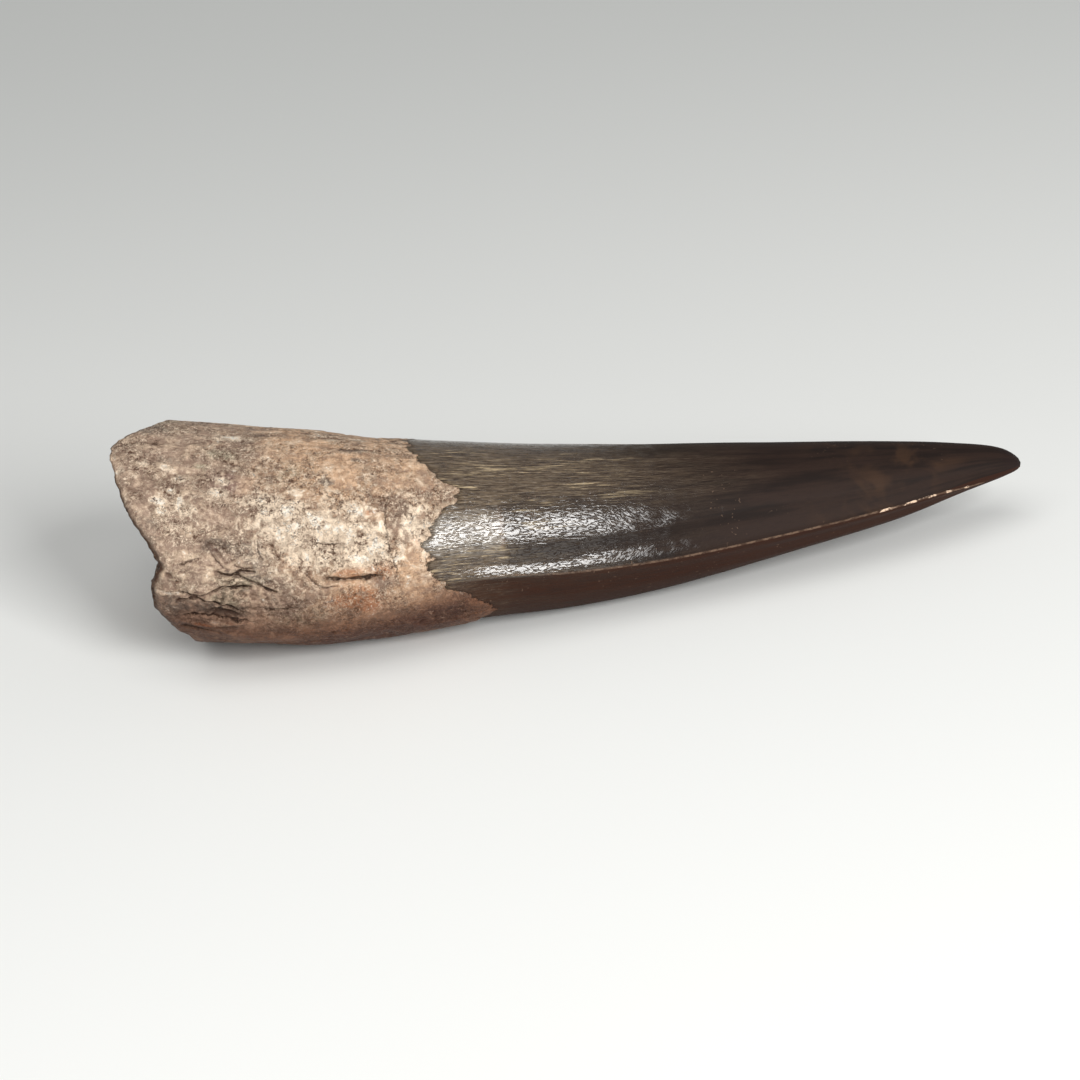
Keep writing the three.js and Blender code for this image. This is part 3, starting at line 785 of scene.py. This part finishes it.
# %% Wires
class Wire:
    """What comes out of a node. Each sum or product of wires and numbers is a node of its own."""

    def __init__(self, painter, socket):
        self.painter, self.socket = painter, socket

    def maths(self, operation, other=0.0):
        return self.painter.node("ShaderNodeMath", 0, {0: self, 1: other}, operation=operation)

    def __add__(self, other):
        return self.maths("ADD", other)

    def __sub__(self, other):
        return self.maths("SUBTRACT", other)

    def __rsub__(self, number):
        return self * -1.0 + number

    def __mul__(self, other):
        return self.maths("MULTIPLY", other)

    def __truediv__(self, other):
        return self.maths("DIVIDE", other)

    def between(self, start, end, low=0.0, high=1.0):
        """Low where the wire is at start and high where it is at end, eased between them."""
        inputs = {"Value": self, "From Min": start, "From Max": end, "To Min": low, "To Max": high}
        return self.painter.node("ShaderNodeMapRange", "Result", inputs, interpolation_type="SMOOTHSTEP")

    def crease(self, half_width):
        """1 along the lines where a noise passes its middle, and 0 away from them."""
        return (self - 0.5).maths("ABSOLUTE").between(half_width, 0.25 * half_width)


# %% The painter
class Painter:
    """Adds nodes to one material. Most methods return the wire that comes out of a new node."""

    def __init__(self, name):
        self.material = bpy.data.materials.new(name)
        self.material.use_nodes = True
        self.tree = self.material.node_tree

    def feed(self, node, inputs):
        """Links the wires to the node's inputs, and sets the inputs that get a number or a colour."""
        for name, value in inputs.items():
            if isinstance(value, Wire):
                self.tree.links.new(value.socket, node.inputs[name])
            else:
                node.inputs[name].default_value = value

    def node(self, kind, output, inputs, **settings):
        made = self.tree.nodes.new(kind)
        for name, value in settings.items():
            setattr(made, name, value)
        self.feed(made, inputs)
        return Wire(self, made.outputs[output])

    def set_shader(self, inputs):
        self.feed(self.tree.nodes["Principled BSDF"], inputs)

    def read(self, name, output="Fac"):
        return self.node("ShaderNodeAttribute", output, {}, attribute_name=name)

    def split(self, vector):
        made = self.tree.nodes.new("ShaderNodeSeparateXYZ")
        self.feed(made, {0: vector})
        return [Wire(self, output) for output in made.outputs]

    def read_three(self, name):
        return self.split(self.read(name, "Vector"))

    def stretch(self, vector, scale):
        return self.node("ShaderNodeVectorMath", 0, {0: vector, 1: scale}, operation="MULTIPLY")

    def noise(self, vector, scale, detail=3.0, roughness=0.55, distortion=0.0):
        inputs = {"Vector": vector, "Scale": scale, "Detail": detail, "Roughness": roughness,
                  "Distortion": distortion}
        return self.node("ShaderNodeTexNoise", "Fac", inputs)

    def blend(self, amount, first, second):
        return self.node("ShaderNodeMix", 0, {0: amount, 2: first, 3: second})

    def mix(self, amount, first, second, blend_type="MIX"):
        inputs = {0: amount, 6: first, 7: second}
        return self.node("ShaderNodeMix", 2, inputs, data_type="RGBA", blend_type=blend_type)

    def lay_over(self, base, *layers):
        """Mixes one colour after another over the base, each by its own amount."""
        for amount, tint in layers:
            base = self.mix(amount, base, tint)
        return base

    def bump(self, height, distance):
        return self.node("ShaderNodeBump", "Normal", {"Height": height, "Distance": distance})


# %% Colours and noises
def colour(red, green, blue):
    """A colour as a screen shows it (0 to 255), turned into the linear values of a shader."""
    shown = np.array([red, green, blue]) / 255
    linear = np.where(shown <= 0.04045, shown / 12.92, ((shown + 0.055) / 1.055) ** 2.4)
    return (*[float(part) for part in linear], 1.0)


paint = Painter("fossil_tooth")
millimetres = paint.stretch(paint.node("ShaderNodeTexCoord", "Object", {}), (1000, 1000, 1000))
flow_lines = paint.read("flow", "Vector")


def even_noise(fineness, *rest):
    """Noise that is as fine along the tooth as across it, with so many spots a millimetre."""
    return paint.noise(millimetres, fineness, *rest)


def drawn_noise(along, across, *rest):
    """Noise on the lines of flow: its fineness along the tooth, and its fineness across it."""
    return paint.noise(paint.stretch(flow_lines, (along, across, across)), 1.0, *rest)


patches = even_noise(0.17, 5.0, 0.6, 0.3)
mottle = even_noise(0.7, 5.0, 0.65, 0.4)
squiggles = even_noise(1.6, 3.0, 0.6, 0.6)
blotches = even_noise(1.7, 3.0, 0.65, 0.3)
grains = even_noise(3.8, 3.0, 0.75, 0.2)
fibre_lines = drawn_noise(0.35, 2.4, 4.0, 0.65, 0.3)
print("painting", paint.material.name, "with", len(paint.tree.nodes), "nodes so far")

# %% [markdown]
# ## The colour of the root
# Weathered dentine is a mottled tan. Large soft patches of grey-brown and cream come from the ground
# water, fine grains from the rough surface, and streaks from the fibres under it. The largest cream
# patch, along the broad bright band, is partly a painted highlight. Rust and purple-brown stains lie
# where iron and manganese settled. Seams and pits hold dirt, and the hollows and a few of the grey
# patches are darkened as painted shade.

# %% What the root reads
hollow_read = paint.read("hollow")
seam_offset, seam_width, sheen_band_read = paint.read_three("seam")
cream_and_highlight_read, rust_read, purple_read = paint.read_three("warm_stains_and_highlight")
grey_and_shade_read, green_read, belly_shade_read = paint.read_three("cold_stains_and_shade")
basin_shade_read, nick_read, band_shade_read = paint.read_three("shades_and_nicks")
at_read, _, height_read = paint.split(flow_lines)

# %% Root colour
TAN, WARM_TAN, PALE_TAN = colour(174, 149, 130), colour(205, 167, 134), colour(217, 191, 164)
GREY_BROWN, DARK_BROWN = colour(138, 116, 101), colour(82, 58, 45)
CREAM_AND_HIGHLIGHT_COLOUR, CHALK_AND_GLINT = colour(250, 228, 202), colour(254, 246, 232)
RUST_COLOUR, PURPLE_COLOUR = colour(180, 118, 78), colour(112, 86, 80)
GREY_AND_SHADE_COLOUR, GREEN_GREY = colour(98, 90, 84), colour(156, 146, 124)
WARM_FROM, WARM_TO = 10.0, 20.0
SOFT_PATCH = (1.8, 0.3, 0.8, 0.8)

frayed = mottle + grains * 0.5 - 0.75


def frayed_patch(amount, reach, start, end, high):
    """A soft patch whose edge is broken up by the mottle and the grains. The stains use it, and so do
    the painted highlight and shade.
    """
    return (amount + frayed * reach).between(start, end, 0.0, high)


warm_share = (at_read + patches * 10.0 - 5.0).between(WARM_FROM, WARM_TO)
root = paint.lay_over(
    paint.mix(patches.between(0.32, 0.56), GREY_BROWN, paint.mix(warm_share, TAN, WARM_TAN)),
    (mottle.between(0.45, 0.7, 0.0, 0.8), PALE_TAN),
    (fibre_lines.between(0.52, 0.72, 0.0, 0.5), GREY_BROWN),
    # grey stains, partly painted shade in hollows and beside cracks
    (frayed_patch(grey_and_shade_read, *SOFT_PATCH), GREY_AND_SHADE_COLOUR),
    (frayed_patch(green_read, *SOFT_PATCH), GREEN_GREY),
    (frayed_patch(purple_read, *SOFT_PATCH), PURPLE_COLOUR),
    (frayed_patch(cream_and_highlight_read, 2.6, 0.25, 0.7, 0.9), CREAM_AND_HIGHLIGHT_COLOUR),
    (mottle.between(0.52, 0.38, 0.0, 0.6), GREY_BROWN),
    (frayed_patch(rust_read, 2.0, 0.35, 0.9, 0.75), RUST_COLOUR),
    # chalky white spots, partly painted glints where the cream is brightest
    (frayed_patch(cream_and_highlight_read, 7.0, 1.3, 1.5, 0.9), CHALK_AND_GLINT),
)
print("the root has", len(paint.tree.nodes), "nodes so far")

# %% [markdown]
# The finest colour follows the relief: crests are rubbed pale, and hollows and creases are darkened as
# painted shade. The same noises will drive the bump, so that every dark fleck is also a small hollow.

# %% Root flecks
CURL_SHADE_BROWN = colour(128, 98, 80)

busy_patches = cream_and_highlight_read * 0.15 + green_read * 0.2
busy = (even_noise(0.3, 3.0, 0.6, 0.4) + busy_patches).between(0.42, 0.6, 0.35, 1.0)
off_belly_read = 1.0 - belly_shade_read * 0.5
flecked = busy * off_belly_read
clusters = even_noise(0.5, 4.0, 0.65, 0.4).between(0.44, 0.56, 0.2, 1.0)
rough_spots = grains + blotches * 0.8
dark_flecks = rough_spots.between(0.92, 1.03) * flecked * clusters
pale_flecks = rough_spots.between(0.84, 0.72) * flecked
# Painted highlight and shadow: a pale line and a dark line just beside it make each curl look raised.
curl_highlights = squiggles.crease(0.035) * busy
curl_shadows = (squiggles + 0.055).crease(0.025) * busy
long_creases = mottle.crease(0.01) * blotches.between(0.45, 0.6)
creases_and_curl_shadows = curl_shadows.maths("MAXIMUM", long_creases)
crests = hollow_read.between(-0.2, -1.0, 0.0, 0.45) * off_belly_read
root = paint.lay_over(
    root,
    (dark_flecks * 0.95, DARK_BROWN),
    (pale_flecks * 0.8, CREAM_AND_HIGHLIGHT_COLOUR),
    (curl_highlights * flecked * 0.45, CREAM_AND_HIGHLIGHT_COLOUR),
    (crests, PALE_TAN),
    # painted shade: hollows and broad basins are darkened
    (hollow_read.between(0.2, 1.0, 0.0, 0.35), DARK_BROWN),
    (basin_shade_read.between(0.15, 0.9, 0.0, 0.35), DARK_BROWN),
    (creases_and_curl_shadows * clusters.between(0.1, 1.0, 0.35, 0.8), CURL_SHADE_BROWN),
)
print("flecks and creases:", len(paint.tree.nodes), "nodes so far")

# %% [markdown]
# A crack in old bone is no ink line: it wanders, swells and closes again, and holds crumbs. So noise
# shifts the offset from the seam and changes its width. Its lower lip catches the light, which a pale
# line on one side of it helps to show.

# %% Root cracks
CRACK_BROWN, DIRT_AND_SHADE, BELLY_SHADE_TINT = colour(64, 50, 43), colour(42, 31, 26), colour(155, 128, 117)
LIP_WIDTH = 0.16
LEAST_WIDTH = 0.004

wander = (blotches - 0.5) * 0.35 + (grains - 0.5) * 0.7
crack_offset = seam_offset + wander
crack_width = seam_width * even_noise(1.1, 2.0, 0.6).between(0.36, 0.62, 0.45, 1.5) + LEAST_WIDTH
crack_ratio = crack_offset.maths("ABSOLUTE") / crack_width
seam_shade = crack_ratio.between(3.0, 1.0, 0.0, 0.55) * blotches.between(0.36, 0.56, 0.35, 1.0)
seam_dark = crack_ratio.between(1.2, 0.7)
below_lip = (crack_offset + crack_width) / LIP_WIDTH
lip = below_lip.between(-1.0, -0.5) * below_lip.between(0.1, -0.3) * seam_width.between(0.01, 0.05)
crumbs_in_crack = grains.between(0.49, 0.58, 1.0, 0.12) * squiggles.between(0.42, 0.54, 0.25, 1.0)
crack_colour = paint.mix(seam_width.between(0.06, 0.22), CRACK_BROWN, DIRT_AND_SHADE)
root = paint.lay_over(
    root,
    (seam_shade, DARK_BROWN),
    (lip * blotches.between(0.4, 0.6, 0.15, 0.55), PALE_TAN),
    (seam_dark * crumbs_in_crack * 0.95, crack_colour),
)

# Painted shade: the belly is darkened all over, and multiplying keeps the mottle and the stains under
# it.
root = paint.mix(belly_shade_read * 0.95, root, BELLY_SHADE_TINT, "MULTIPLY")
print("cracks and belly:", len(paint.tree.nodes), "nodes so far")

# %% [markdown]
# ## The broken face's colour
# The break is darker than the outside, with the pale rim of the dentine wall, and the sand in the
# pulp cavity is warmer.

# %% Broken face colour
WALL_COLOUR, SAND_COLOUR = colour(104, 86, 74), colour(160, 118, 88)

dentine_wall = paint.lay_over(
    WALL_COLOUR,
    (mottle.between(0.35, 0.65), DARK_BROWN),
    (grains.between(0.55, 0.75, 0.0, 0.6), PALE_TAN),
)
sand = paint.lay_over(
    SAND_COLOUR,
    (grains.between(0.35, 0.65), PALE_TAN),
    (mottle.between(0.5, 0.75, 0.0, 0.6), DARK_BROWN),
)
# The hollows of the break are darkened too, as painted shade.
break_colour = paint.lay_over(
    dentine_wall, (paint.read("pulp"), sand), (hollow_read.between(0.1, 0.9, 0.0, 0.7), DIRT_AND_SHADE))
root = paint.mix(paint.read("broken"), root, break_colour)
print("broken face:", len(paint.tree.nodes), "nodes so far")

# %% [markdown]
# ## The colour of the crown
# Enamel went almost black-brown. Near its edge it is thin and stained, with olive and grey streaks
# that follow the tooth, and amber shows through towards the tip. The streaks are noise that is
# stretched along the flow, so they converge on the tip as the real ones do.

# %% Crown colour
ENAMEL_BROWN, ENAMEL_DARK = colour(44, 32, 27), colour(31, 23, 20)
EDGE_OLIVE, EDGE_DARK = colour(106, 91, 74), colour(62, 51, 42)
OLIVE_FLECK, STREAK_GREY = colour(188, 168, 134), colour(150, 136, 118)

enamel_read = paint.read("enamel")
long_streaks = drawn_noise(0.35, 7.0, 4.0, 0.7)
fine_streaks = drawn_noise(0.9, 12.0, 2.0, 0.7)
broad_streaks = drawn_noise(0.1, 0.7, 4.0, 0.6)
past_edge = enamel_read + broad_streaks * 14.0 - height_read * 0.9

dark_enamel = paint.mix(broad_streaks.between(0.4, 0.66), ENAMEL_BROWN, ENAMEL_DARK)
edge_enamel = paint.lay_over(
    EDGE_OLIVE,
    (long_streaks.between(0.42, 0.6), EDGE_DARK),
    (fine_streaks.between(0.52, 0.68, 0.0, 0.45), STREAK_GREY),
)
fleck_streaks = long_streaks * 0.6 + broad_streaks * 0.5
flecks = fleck_streaks.between(0.49, 0.43) * past_edge.between(25.0, 11.0)
crown = paint.lay_over(
    dark_enamel,
    (past_edge.between(38.0, 4.0), edge_enamel),
    (flecks * 0.8, OLIVE_FLECK),
    (fine_streaks.between(0.48, 0.36, 0.0, 0.4), ENAMEL_DARK),
    # painted shade between and under the bright bands
    (band_shade_read * 0.8, ENAMEL_DARK),
)
print("streaks and flecks:", len(paint.tree.nodes), "nodes so far")

# %% [markdown]
# Near the neck a pale haze lies along the broad bright band: partly a pale film on the enamel, partly
# painted sheen. It ends at a line where growth once paused.
# Amber shows through further on, the underside gets a redder painted shade, and a few specks of crust
# stuck on.

# %% Haze and sheen, amber and specks
HAZE_AND_SHEEN, WORN_TAN = colour(160, 152, 141), colour(116, 94, 78)
AMBER, UNDERSIDE_SHADE, TIP_DARK = colour(66, 47, 34), colour(54, 29, 18), colour(38, 27, 26)
HAZE_END = 38.6

haze_edge = at_read + (mottle - 0.5) * 1.6
in_sheen_band = (sheen_band_read + (long_streaks - 0.5) * 2.4).between(0.3, 1.0)
haze_and_sheen = haze_edge.between(HAZE_END + 0.25, HAZE_END - 0.25) * in_sheen_band
growth_line = haze_edge.between(HAZE_END - 0.35, HAZE_END) * haze_edge.between(HAZE_END + 0.5, HAZE_END)
amber_zone = enamel_read.between(38.0, 48.0) * enamel_read.between(57.0, 51.0)
amber_patches = even_noise(0.2, 3.0, 0.6, 0.5).between(0.42, 0.62, 0.0, 0.6)
specks = even_noise(3.0, 1.0, 0.5, 0.5).between(0.71, 0.75)
speck_zone = even_noise(0.12, 2.0).between(0.5, 0.58)
crown = paint.lay_over(
    crown,
    # pale haze, partly painted sheen along the broad bright band
    (haze_and_sheen * fine_streaks.between(0.42, 0.56, 0.1, 0.65), HAZE_AND_SHEEN),
    (growth_line * in_sheen_band * 0.4, WORN_TAN),
    (amber_zone * amber_patches, AMBER),
    (at_read.between(92.8, 95.2, 0.0, 0.6), TIP_DARK),
    # painted shade on the underside, redder than the enamel above it
    (belly_shade_read * long_streaks.between(0.4, 0.64, 0.95, 0.45), UNDERSIDE_SHADE),
    (specks * speck_zone * 0.6, WORN_TAN),
)
print("haze, amber and specks:", len(paint.tree.nodes), "nodes so far")

# %% [markdown]
# The carina is rubbed to a tan line, and chipped pale in a few places.

# %% The worn carina
NICK = colour(228, 198, 172)

carina_read, rising_read, falling_read = paint.read_three("crown_marks")
worn = paint.noise(flow_lines, 1.1, 4.0, 0.7)
worn_edge = carina_read + (grains - 0.5) * 0.5
worn_line = worn_edge.between(0.76, 0.94) * enamel_read.between(-2, 16, 0.4, 1.0)
ragged = (worn - 0.5) * 2.0 + (grains - 0.5) * 2.0
nick_line = (carina_read + ragged * 0.15).between(0.72, 0.86)
crown = paint.lay_over(
    crown,
    (worn_line * worn.between(0.4, 0.6, 0.2, 0.85), WORN_TAN),
    (nick_line * (nick_read + ragged).between(0.65, 0.95), NICK),
)
print("carina:", len(paint.tree.nodes), "nodes so far")

# %% [markdown]
# ## The edge between them
# The tan crust of the root overlaps the enamel with a frayed edge, and leaves a few flecks beyond
# it. One value, millimetres past the edge, decides: the mesh gives it coarsely, and noise in
# the shader adds the tenths of a millimetre.

# %% Join root and crown
crust_edge = enamel_read + (even_noise(2.2, 4.0, 0.65) - 0.5) * 1.6
is_crown = crust_edge.between(-0.1, 0.1)
# Painted shadow: a thin dark line on the enamel just below the crust's edge.
shade_line = is_crown * crust_edge.between(0.5, 0.15)
crown = paint.mix(shade_line * 0.3, crown, DIRT_AND_SHADE)
paint.set_shader({"Base Color": paint.mix(is_crown, root, crown)})
print("the colour takes", len(paint.tree.nodes), "nodes")

# %% [markdown]
# ## Gloss and fine relief
# The crown keeps its polish near the neck and lost it towards the tip. Polish is a clear coat here,
# because a coat can fade out along the tooth, and the dull surface under it reflects little of the
# pale room. Wrinkles finer than half a millimetre break the shine. They run along the tooth, and
# slant on both sides of the broad band. A bump node carries them, because they're too fine for the
# mesh, and the coat is worn away in each crease, which draws it dark in the shine.

# %% Wrinkles and polish
SWELL_FINENESS = (1.15, 4.2, 4.2)
SWELL_HEIGHT, CREASE_DEPTH = 0.054, 0.02
CREASE_HALF_WIDTH = 0.056
POLISH_FROM, POLISH_TO = 13.0, 28.0


def swells(coordinates):
    """Soft swells, long in the first coordinate. Their creases lie where they pass the middle."""
    return paint.noise(paint.stretch(coordinates, SWELL_FINENESS), 1.0, 1.5, 0.5, 0.6)


waves = paint.blend(rising_read, swells(flow_lines), swells(paint.read("rising", "Vector")))
waves = paint.blend(falling_read, waves, swells(paint.read("falling", "Vector")))
wrinkle = waves.crease(CREASE_HALF_WIDTH)
polish_edge = enamel_read + (mottle - 0.5) * 22.0
polish = polish_edge.between(POLISH_TO, POLISH_FROM) * (1.0 - belly_shade_read)
coat = crust_edge.between(0.2, 1.0) * polish * (1.0 - wrinkle)
print("the polish fades from", POLISH_FROM, "to", POLISH_TO, "mm past the edge")

# %% Roughness and bump
root_rough = mottle * 0.35 + 0.28
crown_rough = polish.between(0.0, 1.0, 0.6, 0.22) + fine_streaks * 0.1
root_bump = (
    grains * busy * -0.34 - blotches * 0.16 - mottle * 0.08 - fibre_lines * 0.03
    - squiggles * busy * 0.07 + curl_highlights * 0.03 - creases_and_curl_shadows * 0.04 - seam_dark * 0.12)
wrinkle_height = waves * SWELL_HEIGHT - wrinkle * CREASE_DEPTH
crown_bump = wrinkle_height * enamel_read.between(22.0, 34.0, 1.0, 0.1)
fine_relief = paint.bump(paint.blend(is_crown, root_bump, crown_bump), MM)
paint.set_shader({
    "Roughness": paint.blend(is_crown, root_rough, crown_rough),
    "Specular IOR Level": 0.12,
    "Coat Weight": coat,
    "Coat Roughness": 0.11,
    "Coat IOR": 1.55,
    "Normal": fine_relief,
    "Coat Normal": fine_relief,
})
tooth_skin.data.materials.append(paint.material)
print("nodes:", len(paint.tree.nodes))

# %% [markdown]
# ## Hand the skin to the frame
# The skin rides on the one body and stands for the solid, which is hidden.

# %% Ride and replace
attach(tooth_skin, "root")
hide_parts("tooth")
print(tooth_skin.name, "stands for the solid")

# %% [markdown]
# ## Floor, light and camera
# A pale floor fills the view. One soft light in front and to the right gives the crown its two bright
# bands, a larger one above fills the shadows, and the world adds an even glow.

# %% The floor
FLOOR_HALF = 1.5
SHADE_FROM_TO = (-0.09, 0.2)
NEAR_SHADE, NEAR_SPOTS = colour(238, 239, 237), colour(242, 243, 241)
FAR_SHADE = colour(203, 205, 203)


def pale_floor():
    """A square sheet with a plain pale finish, a little greyer towards the back as painted shade."""
    sheet = np.array([[-1, -1, 0], [1, -1, 0], [1, 1, 0], [-1, 1, 0]]) * FLOOR_HALF
    floor = build_mesh("floor", sheet, np.array([[0, 1, 2, 3]]), np.zeros((0, 3), dtype=int))
    finish = Painter("floor")
    place = finish.node("ShaderNodeTexCoord", "Object", {})
    _, backwards, _ = finish.split(place)
    shades = finish.lay_over(
        NEAR_SHADE,
        (finish.noise(place, 3.0), NEAR_SPOTS),
        (backwards.between(*SHADE_FROM_TO), FAR_SHADE),
    )
    finish.set_shader({"Base Color": shades, "Roughness": 0.8})
    floor.data.materials.append(finish.material)
    return floor


pale_floor()
print("floor:", 2 * FLOOR_HALF, "m across")


# %% Lights
def direction(azimuth, elevation):
    """The way from the tooth to a light or a camera: azimuth 0 is in front (-Y), 90 is at +X."""
    turn, lift = np.radians([azimuth, elevation])
    return Vector((np.sin(turn) * np.cos(lift), -np.cos(turn) * np.cos(lift), np.sin(lift)))


def soft_light(name, azimuth, elevation, distance, width, height, watts, tint):
    """A rectangular light that faces the tooth."""
    lamp = bpy.data.lights.new(name, "AREA")
    lamp.shape = "RECTANGLE"
    lamp.size, lamp.size_y = width, height
    lamp.energy = watts
    lamp.color = tint
    light = bpy.data.objects.new(name, lamp)
    away = direction(azimuth, elevation)
    light.location = away * distance
    light.rotation_euler = away.to_track_quat("Z", "Y").to_euler()
    bpy.context.scene.collection.objects.link(light)


soft_light("key", azimuth=25, elevation=33, distance=0.7, width=0.26, height=0.34, watts=4.3,
           tint=(1.0, 0.998, 0.99))
soft_light("fill", azimuth=-35, elevation=68, distance=1.2, width=1.2, height=1.0, watts=7.0,
           tint=(1.0, 0.99, 0.97))
print("lights:", list(bpy.data.lights.keys()))

# %% The room
ROOM_TINT, ROOM_STRENGTH = (0.99, 0.99, 1.0, 1.0), 0.22

world = bpy.data.worlds.new("soft_room")
world.use_nodes = True
background = world.node_tree.nodes["Background"]
background.inputs["Color"].default_value = ROOM_TINT
background.inputs["Strength"].default_value = ROOM_STRENGTH
bpy.context.scene.world = world
bpy.context.scene.view_settings.view_transform = "Standard"
print("the room glows with strength", ROOM_STRENGTH)

# %% [markdown]
# The camera looks down on the near side through a long lens, from not quite half a metre, and is
# rolled a little.

# %% The camera
CAMERA_AZIMUTH, CAMERA_ELEVATION, CAMERA_ROLL = -6.0, 30.0, -4.81
CAMERA_DISTANCE = 0.42
AIM = Vector((-4.18, 1.80, 4.65)) * MM
FRAME_PIXELS, PIXELS_PER_SLOPE = 1080, 3943
SENSOR = 36.0


def make_camera():
    """A camera that looks at AIM from a set distance, rolled about its own line of sight."""
    lens = bpy.data.cameras.new("camera")
    lens.sensor_width = SENSOR
    lens.lens = SENSOR * PIXELS_PER_SLOPE / FRAME_PIXELS
    lens.clip_start, lens.clip_end = 0.01, 20.0
    camera = bpy.data.objects.new("camera", lens)
    back = direction(CAMERA_AZIMUTH, CAMERA_ELEVATION)
    level = back.to_track_quat("Z", "Y").to_matrix().to_4x4()
    roll = Matrix.Rotation(np.radians(CAMERA_ROLL), 4, "Z")
    camera.matrix_world = Matrix.Translation(AIM + back * CAMERA_DISTANCE) @ level @ roll
    bpy.context.scene.collection.objects.link(camera)
    bpy.context.scene.camera = camera


make_camera()
print("camera", CAMERA_DISTANCE, "m away")
